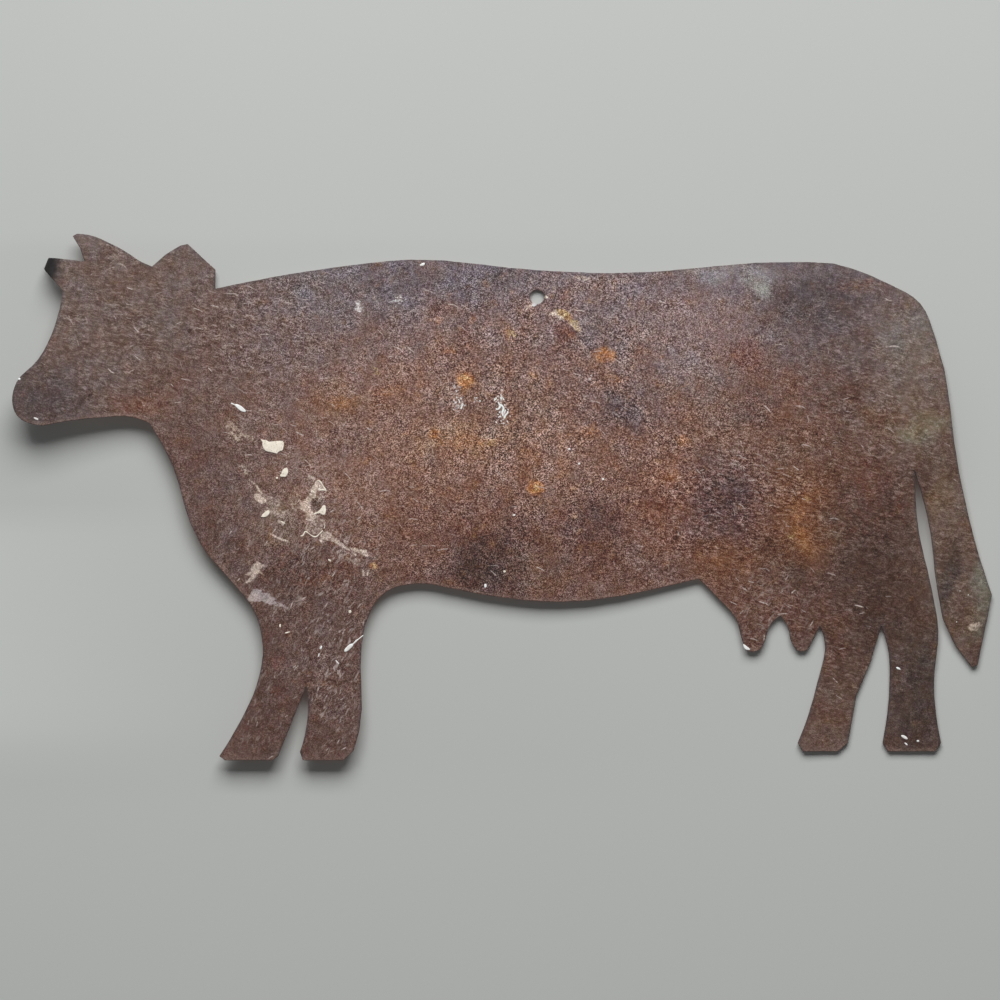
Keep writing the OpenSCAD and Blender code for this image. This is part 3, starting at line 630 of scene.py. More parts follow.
def make_sheet():
    mesh = frame["nodes"]["cow_sheet"].data.copy()
    piece = bpy.data.objects.new("rusted_sheet", mesh)
    bpy.context.scene.collection.objects.link(piece)
    only(piece)
    edit_all()
    bpy.ops.mesh.remove_doubles(threshold=1e-6)
    bpy.ops.mesh.dissolve_limited(angle_limit=math.radians(0.2))
    done()
    rims = find_rims(mesh, corners(mesh))
    round_edges(mesh)
    cut_grid(-0.1869, 0.1624, -0.1652, 0.0225, GRID)
    done()
    for area in CLOSE_AREAS:
        cut_close_grid(mesh, *area)
    edit_all()
    bpy.ops.mesh.remove_doubles(threshold=8e-6)
    bpy.ops.mesh.normals_make_consistent(inside=False)
    done()

    co = corners(mesh)
    gap, out = nearest_rim(co, rims)
    near = np.clip(1.0 - gap / RIPPLE_REACH, 0.0, 1.0) * (np.hypot(co[:, 0], co[:, 2]) > 4 * MM)
    ripple = RIPPLE * near * (np.sin(co[:, 0] / 0.0011) + np.sin(co[:, 2] / 0.0013 + 1.0)
                              + 0.8 * np.sin((co[:, 0] - co[:, 2]) / 0.0027))
    co[:, 0] += out[:, 0] * ripple
    co[:, 2] += out[:, 1] * ripple
    co[:, 1] += sway(co[:, 0], co[:, 2]) * np.clip((co[:, 0] + 0.178) / 0.02, 0.0, 1.0)
    move_corners(mesh, co)
    paint_marks(mesh, co, gap, out)
    finish_piece(piece, rusted_iron, "cow_sheet")


# ---------------------------------------------------------------- marks on the weathered face

# tones of the washes, later ones over earlier ones: place across and down the picture, half width, half height, turn,
# then the tone and its strength. The lighter grey washes along the top of the back are painted sheen of the window
# light over the rust's own tone
GROUND = (113, 85, 75)
WASHES_WITH_SHEEN = [
    # the first wash, grey over the whole top of the back, is painted sheen
    (500, 225, 620, 150, 0, (117, 106, 107), 1.0), (230, 275, 280, 90, 0, (109, 95, 92), 0.85),
    (110, 330, 130, 110, 20, (105, 88, 80), 0.8), (30, 415, 60, 50, 0, (79, 71, 71), 0.8),
    (180, 400, 70, 50, 30, (101, 78, 68), 0.6), (560, 285, 190, 40, 3, (113, 99, 102), 0.75),
    (500, 380, 200, 110, 0, (117, 89, 80), 0.7), (340, 470, 110, 110, 0, (117, 92, 82), 0.5),
    (890, 600, 150, 210, 0, (73, 53, 45), 1.0), (955, 560, 50, 130, -12, (102, 83, 71), 0.8),
    (880, 340, 90, 100, 10, (107, 91, 85), 0.8), (905, 425, 50, 40, 0, (106, 88, 76), 0.5),
    (962, 496, 10, 30, -14, (118, 104, 92), 0.6), (986, 590, 12, 42, -12, (110, 108, 96), 0.9),
    (680, 425, 180, 80, 0, (112, 82, 65), 0.5), (815, 302, 76, 50, 10, (98, 86, 88), 0.6),
    (450, 480, 190, 110, 0, (130, 96, 80), 0.6), (490, 565, 100, 70, 0, (87, 59, 52), 0.9),
    (620, 560, 160, 90, 0, (99, 71, 61), 0.6), (300, 575, 90, 60, 0, (90, 66, 57), 0.7),
    (300, 680, 100, 140, 0, (90, 67, 60), 0.9), (835, 700, 44, 90, 0, (101, 79, 68), 0.8),
    (897, 690, 12, 80, 0, (90, 74, 68), 0.7), (925, 700, 22, 90, 0, (68, 56, 50), 0.6),
    (250, 445, 60, 60, 0, (106, 86, 79), 0.5), (760, 600, 90, 80, 0, (96, 67, 56), 0.7),
    (715, 495, 60, 40, 0, (99, 75, 73), 0.7), (620, 410, 50, 40, -20, (104, 80, 76), 0.7),
    (645, 430, 50, 30, 0, (115, 85, 74), 0.5), (610, 330, 40, 30, 0, (107, 95, 97), 0.6),
    (682, 360, 60, 34, 0, (117, 101, 99), 0.6), (210, 500, 60, 80, 20, (92, 71, 66), 0.7),
    (820, 500, 60, 60, 0, (107, 71, 49), 0.4), (440, 280, 110, 24, 2, (102, 94, 100), 0.7),
    (350, 300, 60, 30, 0, (106, 97, 100), 0.5), (235, 335, 50, 64, 0, (108, 86, 79), 0.7),
    (285, 335, 40, 36, 0, (108, 91, 89), 0.5), (395, 385, 44, 20, 0, (124, 90, 74), 0.5),
    (345, 404, 40, 16, 0, (124, 95, 74), 0.5), (470, 437, 52, 16, 5, (134, 103, 76), 0.6),
    (430, 520, 74, 50, 0, (112, 79, 64), 0.65), (490, 562, 40, 34, 0, (70, 41, 32), 0.9),
    (560, 480, 28, 40, 0, (120, 92, 80), 0.5), (596, 522, 36, 24, 10, (90, 60, 53), 0.8),
    (604, 556, 24, 24, 0, (88, 57, 47), 0.7), (545, 570, 26, 24, 0, (104, 79, 66), 0.6),
    (660, 505, 36, 42, 0, (112, 71, 51), 0.75), (668, 476, 10, 20, -30, (136, 95, 72), 0.6),
    (722, 500, 26, 26, 0, (79, 54, 52), 0.85), (725, 560, 42, 18, 0, (108, 71, 49), 0.7),
    (800, 520, 34, 42, 0, (110, 72, 47), 0.7), (790, 557, 14, 10, 0, (92, 57, 37), 0.6),
    (800, 540, 14, 12, 0, (142, 94, 46), 0.55), (775, 552, 24, 14, 0, (82, 54, 40), 0.6),
    (800, 574, 10, 12, 0, (64, 48, 40), 0.6), (765, 592, 40, 22, 0, (97, 69, 57), 0.6),
    (832, 640, 22, 26, 0, (92, 63, 50), 0.7), (852, 530, 30, 50, 0, (82, 65, 57), 0.7),
    (890, 590, 42, 60, 0, (72, 50, 41), 0.7), (870, 460, 40, 26, 0, (104, 77, 66), 0.7),
    (816, 306, 54, 32, 8, (97, 86, 87), 0.85), (700, 325, 60, 36, 0, (130, 107, 103), 0.7),
    (640, 350, 14, 20, 0, (112, 84, 74), 0.8), (440, 400, 24, 22, 0, (110, 85, 76), 0.5),
    (757, 289, 11, 15, 0, (142, 141, 136), 0.9), (722, 271, 56, 9, -4, (134, 128, 128), 0.8),
    (626, 412, 24, 22, -30, (80, 66, 70), 0.8), (683, 364, 24, 24, 0, (124, 109, 109), 0.6),
    (746, 355, 17, 19, 0, (108, 71, 59), 0.65), (787, 405, 24, 36, 0, (106, 77, 62), 0.45),
    (845, 382, 16, 16, 0, (96, 65, 55), 0.5), (760, 405, 24, 20, 0, (92, 70, 64), 0.6),
    (825, 398, 26, 16, 0, (92, 78, 73), 0.5), (850, 352, 40, 24, 0, (98, 82, 78), 0.5),
    (850, 400, 20, 22, 0, (86, 61, 50), 0.6), (912, 348, 30, 50, 0, (116, 108, 102), 0.7),
    (919, 428, 27, 11, 8, (121, 119, 98), 0.8), (880, 416, 16, 16, 0, (103, 79, 65), 0.5),
    (507, 325, 14, 40, 0, (122, 104, 99), 0.3), (350, 440, 26, 20, 0, (108, 83, 74), 0.5),
    (563, 372, 14, 50, 0, (112, 80, 70), 0.55), (438, 340, 16, 14, 0, (130, 103, 92), 0.6),
    (467, 339, 16, 12, 0, (102, 72, 66), 0.75), (440, 312, 14, 8, 0, (108, 80, 74), 0.5),
    (936, 500, 12, 28, -14, (112, 92, 72), 0.8), (951, 576, 9, 26, -12, (66, 54, 50), 0.8),
    (966, 640, 10, 20, -12, (104, 88, 78), 0.7), (285, 572, 30, 26, 0, (84, 62, 56), 0.5),
    (135, 404, 34, 10, 0, (112, 86, 74), 0.5), (281, 522, 22, 25, -15, (116, 99, 86), 0.8),
    (800, 480, 16, 14, 0, (98, 70, 55), 0.5), (505, 405, 46, 46, 0, (104, 78, 67), 0.55),
    (925, 400, 34, 60, 0, (118, 103, 92), 0.35), (940, 520, 28, 46, -10, (102, 80, 68), 0.4),
    (906, 505, 16, 56, 0, (100, 80, 70), 0.4), (285, 505, 50, 50, 0, (114, 92, 82), 0.35),
    (65, 405, 50, 40, 0, (94, 82, 82), 0.3)
]
# single marks: place across and down the picture, half width, half height, turn, strength
STAINS = [
    (490, 562, 36, 30, 0, 0.75), (591, 520, 30, 24, 0, 0.4), (816, 302, 44, 26, 5, 0.6),
    (730, 494, 34, 22, 0, 0.45), (874, 568, 34, 56, 0, 0.2), (916, 700, 34, 62, 0, 0.6),
    (952, 558, 9, 26, -10, 0.5), (502, 277, 20, 11, 10, 0.45), (306, 572, 36, 26, 10, 0.4),
    (251, 716, 8, 14, 30, 0.5), (617, 406, 22, 17, -20, 0.4), (562, 330, 9, 11, 0, 0.5),
    (501, 411, 8, 12, -15, 0.35), (317, 504, 9, 7, 0, 0.8), (395, 285, 40, 20, 0, 0.3), (40, 390, 30, 40, 0, 0.35),
    (262, 672, 16, 50, 10, 0.35), (850, 640, 26, 60, 0, 0.35), (215, 540, 30, 30, 30, 0.35),
    (265, 745, 40, 18, 0, 0.4), (330, 745, 34, 14, 0, 0.3)
]
BLOOMS = [
    (465, 380, 10, 9, 0, 0.95), (536, 488, 10, 8, 0, 0.95), (566, 316, 9, 5, -35, 0.5), (605, 355, 13, 8, 0, 0.85),
    (510, 334, 8, 9, 0, 0.5), (450, 351, 7, 4, 0, 0.55), (473, 319, 6, 6, 0, 0.55), (439, 321, 5, 5, 0, 0.5),
    (491, 366, 5, 4, 0, 0.4), (388, 390, 20, 7, 15, 0.4), (420, 384, 7, 5, 0, 0.35), (672, 478, 6, 12, -30, 0.4),
    (800, 532, 8, 9, 0, 0.4), (808, 498, 6, 6, 0, 0.4), (462, 392, 11, 3, 15, 0.4), (571, 334, 4, 3, 0, 0.4),
    (434, 434, 6, 5, 40, 0.9), (440, 442, 3, 5, 0, 0.7), (470, 442, 28, 7, 0, 0.5), (341, 404, 13, 8, 0, 0.5),
    (623, 379, 9, 5, 0, 0.45), (591, 432, 11, 9, 0, 0.5), (684, 440, 9, 6, 0, 0.65), (634, 322, 4, 4, 0, 0.3),
    (374, 566, 5, 4, 0, 0.6), (676, 527, 4, 4, 0, 0.5), (797, 512, 9, 16, 10, 0.45), (326, 577, 6, 5, 0, 0.35),
    (857, 285, 20, 6, 12, 0.3), (716, 561, 8, 6, 0, 0.35), (744, 572, 7, 5, 0, 0.3), (560, 440, 8, 6, 0, 0.3)
]
YELLOWS = [
    (457, 440, 4, 3, 0, 0.4), (471, 437, 4, 3, 0, 0.4), (489, 443, 6, 4, 0, 0.45), (794, 538, 4, 4, 0, 0.5),
    (809, 500, 4, 3, 0, 0.45), (537, 488, 5, 4, 0, 0.4), (374, 565, 4, 3, 0, 0.8), (466, 379, 4, 3, 0, 0.45),
    (510, 334, 5, 6, 0, 0.65), (409, 363, 4, 4, 0, 0.45), (377, 372, 4, 4, 0, 0.35), (491, 366, 3, 3, 0, 0.35)
]
REDS = [
    (562, 331, 9, 11, 0, 0.8), (571, 335, 6, 4, 20, 0.8), (565, 302, 8, 9, 0, 0.5), (178, 384, 10, 14, 0, 0.25),
    (142, 405, 28, 9, 0, 0.45), (748, 355, 18, 14, 0, 0.5), (279, 664, 9, 8, 0, 0.6), (275, 691, 7, 6, 0, 0.5),
    (800, 400, 60, 40, 0, 0.3), (690, 500, 90, 60, 0, 0.25), (500, 520, 120, 40, 0, 0.25),
    (870, 500, 40, 40, 0, 0.35), (320, 560, 60, 40, 0, 0.3), (640, 480, 60, 40, 0, 0.25)
]
FILMS = [
    (974, 627, 8, 5, 30, 0.6), (322, 497, 4, 4, 0, 0.45), (272, 501, 14, 5, -25, 0.42), (276, 512, 14, 5, -10, 0.4),
    (310, 477, 4, 2, -25, 0.6), (245, 470, 8, 3, -50, 0.4), (281, 522.6, 4, 1.6, -30, 0.7),
    (363, 573, 2, 4, 0, 0.6), (368, 573, 1.6, 4, -15, 0.6), (355, 560, 9, 6, -30, 0.35), (232, 426, 7, 4, -40, 0.5),
    (340, 553, 14, 6, -30, 0.3), (375, 298, 3, 2, 20, 0.35), (386, 306, 4, 2, -30, 0.35),
    (398, 298, 6, 4, -30, 0.4), (236, 432, 13, 8, 30, 0.3), (296, 501, 8, 13, 0, 0.32),
    (584, 278, 10, 2.6, -6, 0.5), (552, 290, 7, 6, -30, 0.3), (253, 597, 6, 4, 10, 0.55)
]
MILK_AND_HOLE_GLINT = [
    (500, 400, 4, 6, 0, 0.34), (503, 412, 4.5, 8, 0, 0.34), (504, 423, 4, 3, 0, 0.3), (459, 404, 6, 7, 0, 0.28),
    (479, 399, 4, 5, 0, 0.26), (590, 378, 4, 4, 0, 0.3), (455, 388, 4, 5, 0, 0.25), (397, 300, 9, 5, 30, 0.35),
    # the mark at 534.4, 304.4, on the hole's lower rim, is a painted highlight standing in for the lit inner wall of
    # the hole
    (359, 306.5, 3.4, 5, 0, 0.6), (534.4, 304.4, 3.2, 1.8, 0, 0.9)
]
# near-black over the horn's bent tip
DARK_HORN_TIP = [(45, 266, 15, 20, 0, 0.97)]

# wide areas that fade from near their middles, written as the single marks are
AMBERS = [
    (800, 515, 44, 52, 0, 0.5), (800, 522, 24, 32, 0, 0.5), (726, 562, 50, 26, 0, 0.5), (320, 577, 30, 14, 0, 0.35),
    (900, 422, 40, 18, 0, 0.35), (500, 455, 120, 60, 0, 0.35), (690, 600, 80, 20, 0, 0.45),
    (150, 402, 28, 12, 0, 0.4), (600, 440, 60, 40, 0, 0.4), (855, 286, 30, 9, 0, 0.4), (470, 370, 60, 40, 0, 0.35),
    (340, 405, 24, 14, 0, 0.5), (620, 365, 50, 26, 0, 0.35), (455, 440, 44, 14, 0, 0.55),
    (560, 560, 80, 40, 0, 0.25)
]
WISPS = [
    (110, 340, 120, 110, 0, 0.6), (240, 330, 90, 90, 0, 0.6), (860, 430, 110, 170, 0, 0.65),
    (735, 500, 110, 90, 0, 1.0), (640, 545, 60, 40, 0, 0.6), (800, 640, 110, 90, 0, 0.6),
    (955, 560, 50, 110, 0, 0.4)
]
HAIRS = [
    (735, 488, 60, 45, 0, 0.8), (640, 548, 40, 26, 0, 0.7), (280, 340, 90, 70, 0, 0.9), (600, 400, 60, 40, 0, 0.6),
    (120, 330, 90, 80, 0, 0.35), (420, 330, 90, 60, 0, 0.6), (620, 330, 70, 50, 0, 0.5), (300, 430, 70, 60, 0, 0.6),
    (770, 600, 50, 50, 0, 0.4), (850, 420, 90, 120, 0, 0.2), (450, 500, 120, 80, 0, 0.3), (820, 640, 60, 90, 0, 0.2)
]
LEG_HAIRS = [
    (332, 654, 42, 92, 0, 0.85), (262, 690, 36, 80, 0, 0.4), (330, 720, 30, 40, 0, 0.6), (330, 560, 50, 60, 0, 0.7),
    (290, 600, 60, 40, 0, 0.5), (250, 540, 50, 60, 0, 0.35), (340, 490, 60, 60, 0, 0.35), (770, 610, 50, 40, 0, 0.4)
]
GRITS = [
    (510, 420, 150, 110, 0, 1.0), (540, 410, 260, 190, 0, 0.85), (500, 470, 330, 210, 0, 0.6),
    (350, 330, 150, 100, 0, 0.5), (330, 500, 110, 150, 0, 0.48), (330, 640, 60, 120, 0, 0.3),
    (740, 480, 120, 120, 0, 0.4), (700, 350, 110, 110, 0, 0.45), (580, 300, 160, 60, 0, 0.7),
    (500, 560, 160, 60, 0, 0.65), (640, 540, 90, 60, 0, 0.6)
]

# marks traced round their edges: strength, then places across and down the picture
TRACED_YELLOWS = [
    (1.0, [(556, 309.5), (560, 308.5), (565, 309.6), (569, 314), (571.6, 318.6), (570.6, 321.2), (566, 320),
           (561.4, 318.6), (558.4, 318.4), (557.6, 315), (556.4, 312)]),
    (0.7, [(567, 322.6), (570, 320.4), (574, 320), (579, 321.4), (580, 325.6), (582, 329.4), (578.6, 332),
           (575.6, 330.4), (572, 326.6), (569, 324.6)]),
]
TRACED_FILMS = [
    (0.85, [(310.5, 489.5), (312.7, 485.5), (315, 483), (318.3, 480.3), (320.6, 482), (323.2, 485.3),
            (326.4, 491.2), (322, 490), (317, 490.8), (315.8, 494), (313, 493.6), (310.6, 491.6)]),
    (0.66, [(310.5, 491.5), (313, 494), (316.5, 494.5), (318, 497), (313.5, 498.8), (311.4, 500.5), (310.6, 504),
            (311.2, 508), (312.6, 511), (315.5, 512.3), (313, 514.5), (322.5, 515.2), (318, 516.6), (314, 518.8),
            (311.5, 521.5), (306.5, 521), (304.4, 518.2), (305, 513), (302, 510.6), (299.4, 508.6), (300.2, 504),
            (303, 500.6), (306.6, 497.6), (309.4, 495)]),
    (0.42, [(306, 522), (312, 520.5), (318, 518), (323.5, 516.5), (326, 522), (324.5, 527), (321.5, 531.5),
            (317, 535), (313, 535.5), (309, 532), (305, 529.5), (303.5, 526)]),
    (0.62, [(320.6, 533.6), (324, 531.6), (329.6, 531.2), (333, 535), (337, 538.2), (341, 541.8), (345.4, 545.4),
            (350, 548.4), (349, 550.4), (344, 548.8), (339, 546), (334.4, 542.8), (329.6, 541.4), (325, 540.2),
            (321.6, 541.4), (320, 538)]),
    (1.0, [(335, 539.6), (340, 543.4), (345, 546.6), (350.6, 549.4), (349.6, 550.8), (344, 548.4), (338.6, 545),
           (334.4, 541.8)]),
    (0.62, [(349, 547.4), (355, 548), (361, 548.6), (367, 549.6), (368.6, 552.6), (368.8, 558), (366.8, 557.8),
            (362.6, 555.2), (357, 552.8), (352.6, 551.6)]),
    (0.8, [(351, 551.2), (354.4, 552.6), (357.4, 556), (354.6, 555.4), (351.8, 553.6)]),
    (0.36, [(330, 531), (338, 532), (346, 534), (350, 538), (351, 546), (345, 543), (338, 536)]),
    (0.75, [(319.6, 538), (322, 538.6), (323.4, 543.6), (321, 544), (319.8, 541)]),
    (0.8, [(308.4, 475.6), (311.4, 476), (314.4, 477), (316, 479.6), (313.4, 480), (311, 478.6)]),
    (0.95, [(524.4, 311), (526.4, 307.6), (530, 304.2), (532.8, 302.4), (534, 304.8), (530.6, 306.6), (527.6, 309),
            (525.6, 311.4)]),
    (1.0, [(540.4, 301), (543.2, 298.2), (546, 295.4), (547.2, 296.2), (544.8, 299), (541.6, 302.2)]),
    (0.75, [(549, 313.6), (553, 311), (557, 309.6), (558, 313), (556.6, 315.4), (552, 315.6)]),
    (0.9, [(558, 315.6), (561, 316.4), (564.4, 318.4), (563, 319.6), (559, 319), (557.4, 317.4)]),
    (0.5, [(567, 322.6), (570, 320.4), (574, 320), (579, 321.4), (580, 325.6), (582, 329.4), (578.6, 332),
           (575.6, 330.4), (572, 326.6), (569, 324.6)]),
    (0.66, [(257.5, 560.6), (260.5, 563), (264.6, 566.6), (260.6, 568.4), (259.6, 570.8), (262.5, 573),
            (266, 576.2), (260, 573.8), (256.6, 574.8), (255, 578.6), (251, 581.6), (247.8, 584), (245, 582),
            (248.6, 579), (250.6, 576), (246, 575.6), (244.4, 574), (249.6, 572), (251.4, 567.6), (254.4, 563.4)]),
    (0.42, [(225, 424), (229, 423.6), (234, 428), (238, 431), (243, 433), (249, 433.8), (254, 436.6), (253, 442),
            (249, 441), (246, 438.6), (241, 437), (240.5, 441), (236, 441.5), (233, 438), (230, 433.5), (226, 429)]),
    (0.75, [(247.6, 476.6), (251, 480), (254.6, 482.4), (258, 486.6), (260.4, 490.4), (263.4, 493), (262, 494),
            (258, 491), (256, 487), (252, 483), (248.6, 479.6)]),
    (0.85, [(255, 494), (257.6, 493), (260.6, 495.4), (264, 497.6), (267.4, 500.4), (265, 503), (262, 504.6),
            (258.6, 502.6), (254.6, 499.6), (253.6, 496.6)]),
    (0.85, [(268, 532.2), (272, 533.6), (278, 536.8), (284, 539.2), (289.6, 541.6), (289, 542.8), (283, 541),
            (276.6, 538.4), (270.6, 534.8)]),
]
TRACED_ASHES = [
    (0.4, [(551.6, 330), (555, 330), (554.6, 366), (551, 364)]),
    (0.9, [(356.2, 300.4), (358.6, 300.2), (359.8, 303.4), (362, 305.6), (363.2, 309.4), (361.4, 311.6),
           (357.4, 311.2), (354.6, 309.4), (355.2, 306), (357, 304.2)]),
    (0.85, [(252, 589.2), (256, 588.6), (261.8, 590.4), (261.6, 592.4), (266, 592.8), (270.2, 593.2),
            (270.8, 596.6), (277.4, 599), (273, 600.8), (276, 603), (271.4, 605.2), (268, 604), (262.6, 601.4),
            (255, 601.6), (248.6, 601.2), (246.6, 599), (250, 595.2)]),
    (0.5, [(272, 600), (280, 602), (288, 606), (291, 610), (286, 612), (279, 608), (273, 605)]),
]


def oval(x, z, mark, edge, fading):
    """1 inside an oval mark, falling to 0 at the mark's size times edge."""
    px, py, wide, high, turn = mark
    away_x, away_z = x - across(px), z - up(py)
    c, s = math.cos(math.radians(turn)), math.sin(math.radians(turn))
    reach = np.hypot((away_x * c + away_z * s) / (wide * UNIT), (away_z * c - away_x * s) / (high * UNIT))
    fade = np.clip((edge - reach) / fading, 0.0, 1.0)
    return fade * fade * (3 - 2 * fade)


def spread(x, z, marks, edge=1.35, fading=0.75):
    """Strength of a list of marks at each place."""
    total = np.zeros(len(x))
    for *mark, strength in marks:
        total = np.maximum(total, strength * oval(x, z, mark, edge, fading))
    return total


def traced(x, z, films):
    """Strength of films inside their traced edges."""
    total = np.zeros(len(x))
    for strength, outline in films:
        ring = np.array([(across(px), up(py)) for px, py in outline])
        low, high = ring.min(axis=0) - MM, ring.max(axis=0) + MM
        near = np.where((x > low[0]) & (x < high[0]) & (z > low[1]) & (z < high[1]))[0]
        px, pz = x[near], z[near]
        gap, inside = np.full(len(near), 1.0), np.zeros(len(near), bool)
        for (ax, az), (bx, bz) in zip(ring, np.roll(ring, -1, axis=0)):
            wide, tall = bx - ax, bz - az
            share = np.clip(((px - ax) * wide + (pz - az) * tall) / (wide ** 2 + tall ** 2), 0, 1)
            gap = np.minimum(gap, np.hypot(px - ax - share * wide, pz - az - share * tall))
            crosses = (az > pz) != (bz > pz)
            inside ^= crosses & (px < wide * (pz - az) / (tall or 1e-12) + ax)
        depth = np.where(inside, gap, -gap) / (0.9 * UNIT)
        total[near] = np.maximum(total[near], strength * np.clip(0.5 + 0.5 * depth, 0.0, 1.0))
    return total


def put(mesh, name, values, kind="FLOAT"):
    layer = mesh.attributes.new(name, kind, "POINT")
    layer.data.foreach_set("value" if kind == "FLOAT" else "color", np.asarray(values, np.float32).ravel())


def paint_marks(mesh, co, gap, out):
    """Writes every mark into the sheet's mesh, where the rust finish reads it."""
    x, z = co[:, 0], co[:, 2]
    # the hidden face carries other marks of the same kinds
    back = (co[:, 1] > 0.3 * MM) & (x > BENT_TIP_X)
    x = np.where(back, -x * 0.9 - 0.01, x)
    # the washes run into each other with wavering edges
    near_x = x + (1.7 * np.sin(z / 0.0042 + 2.0 * np.sin(x / 0.0071)) + 0.9 * np.sin((z - x) / 0.0023)) * MM
    near_z = z + (1.7 * np.sin(x / 0.0047 + 1.7 * np.sin(z / 0.0063)) + 0.9 * np.sin((z + x) / 0.0026)) * MM
    ground_and_sheen = np.tile(np.array(tone(*GROUND)), (len(x), 1))
    # the washes are laid one over another, the painted sheen along the top of the back among them
    for *mark, shade, strength in WASHES_WITH_SHEEN:
        share = (strength * oval(near_x, near_z, mark, 1.5, 1.1))[:, None]
        ground_and_sheen = ground_and_sheen * (1 - share) + np.array(tone(*shade)) * share
    put(mesh, "ground_and_sheen", np.hstack([ground_and_sheen, np.ones((len(x), 1))]), "FLOAT_COLOR")
    for name, marks in (("stain", STAINS), ("bloom", BLOOMS), ("red", REDS), ("milk_and_hole_glint", MILK_AND_HOLE_GLINT), ("dark_horn_tip", DARK_HORN_TIP)):
        put(mesh, name, spread(x, z, marks))
    for name, marks in (("amber", AMBERS), ("wisps", WISPS), ("hairs", HAIRS), ("leg_hairs", LEG_HAIRS),
                        ("grit", GRITS)):
        put(mesh, name, spread(x, z, marks, 1.4, 1.1))
    put(mesh, "yellow", np.maximum(spread(x, z, YELLOWS), traced(x, z, TRACED_YELLOWS)))
    put(mesh, "film", np.maximum(spread(x, z, FILMS), traced(x, z, TRACED_FILMS)))
    put(mesh, "ash", traced(x, z, TRACED_ASHES))
    put(mesh, "rim", np.minimum(gap / MM, 12.0))
    put(mesh, "rim_low", np.clip(-out[:, 1], 0.0, 1.0))


# ---------------------------------------------------------------- plaster and paint on the face

def trace(name, outline):
    """Edges drawn corner by corner on the sheet's face, from each corner's place in the picture."""
    bpy.ops.object.select_all(action="DESELECT")
    first = outline[0]
    bpy.ops.mesh.primitive_plane_add(size=MM, location=(across(first[0]), FACE_Y, up(first[1])))
    piece = bpy.context.active_object
    piece.name = piece.data.name = name
    edit()
    bpy.ops.mesh.merge(type="CENTER")
    for before, after in zip(outline, outline[1:]):
        step = ((after[0] - before[0]) * UNIT, 0.0, -(after[1] - before[1]) * UNIT)
        bpy.ops.mesh.extrude_vertices_move(TRANSFORM_OT_translate={"value": step})
    bpy.ops.mesh.select_all(action="SELECT")
    return piece


def raise_by(height):
    bpy.ops.transform.translate(value=(0.0, -height, 0.0))


def thicken(height):
    """Fills the traced edges and lifts the new face off the sheet, which leaves its top selected."""
    bpy.ops.mesh.edge_face_add()
    bpy.ops.mesh.extrude_region_move(TRANSFORM_OT_translate={"value": (0.0, -height, 0.0)})
    bpy.ops.mesh.select_mode(type="FACE")


def add_rounding(piece):
    rounder = piece.modifiers.new("rounded", "SUBSURF")
    rounder.levels = rounder.render_levels = 2


def chip(name, thick, seed, outline):
    """A chip of plaster: traced, thickened, its edge broken and its top uneven."""
    piece = trace(name, outline)
    thicken(thick)
    bpy.ops.mesh.inset(thickness=0.10 * MM, depth=0.0)
    raise_by(0.02 * MM)
    bpy.ops.mesh.quads_convert_to_tris()
    bpy.ops.mesh.subdivide(number_cuts=2, smoothness=0.0)
    bpy.ops.transform.vertex_random(offset=0.035 * MM, uniform=0.2, normal=0.4, seed=seed)
    done()
    return piece


def drop(name, thick, outline):
    """A dried drop of paint: traced, swollen towards its middle and rounded."""
    piece = trace(name, outline)
    thicken(0.45 * thick)
    bpy.ops.mesh.inset(thickness=0.13 * MM, depth=0.0)
    raise_by(0.4 * thick)
    bpy.ops.mesh.inset(thickness=0.16 * MM, depth=0.0)
    raise_by(0.15 * thick)
    done()
    add_rounding(piece)
    bpy.ops.object.modifier_apply(modifier="rounded")
    return piece


def bead(name, path, widening=1.0):
    """A thin raised line of plaster or paint, from places in the picture with the line's half width at each."""
    piece = trace(name, path)
    done()
    piece.modifiers.new("skin", "SKIN")
    for point, (_, _, half) in zip(piece.data.skin_vertices[0].data, path):
        point.radius = [half * widening * UNIT] * 2
    add_rounding(piece)
    bpy.ops.object.modifier_apply(modifier="skin")
    bpy.ops.object.modifier_apply(modifier="rounded")
    edit_all()
    bpy.ops.transform.resize(value=(1.0, 0.5, 1.0), center_override=(0.0, FACE_Y, 0.0))
    done()
    return piece


def merge(name, pieces):
    only(pieces[0])
    for other in pieces[1:]:
        other.select_set(True)
    bpy.ops.object.join()
    joined = bpy.context.active_object
    joined.name = joined.data.name = name
    return joined


def settle(name, parts, finish, replaces=None):
    """Joins deposits into one piece, lays it on the waving face and gives it its finish."""
    piece = merge(name, parts)
    only(piece)
    bpy.ops.object.transform_apply(location=True, rotation=True, scale=True)
    edit_all()
    bpy.ops.mesh.normals_make_consistent(inside=False)
    done()
    co = corners(piece.data)
    co[:, 1] += sway(co[:, 0], co[:, 2])
    move_corners(piece.data, co)
    finish_piece(piece, finish, replaces)


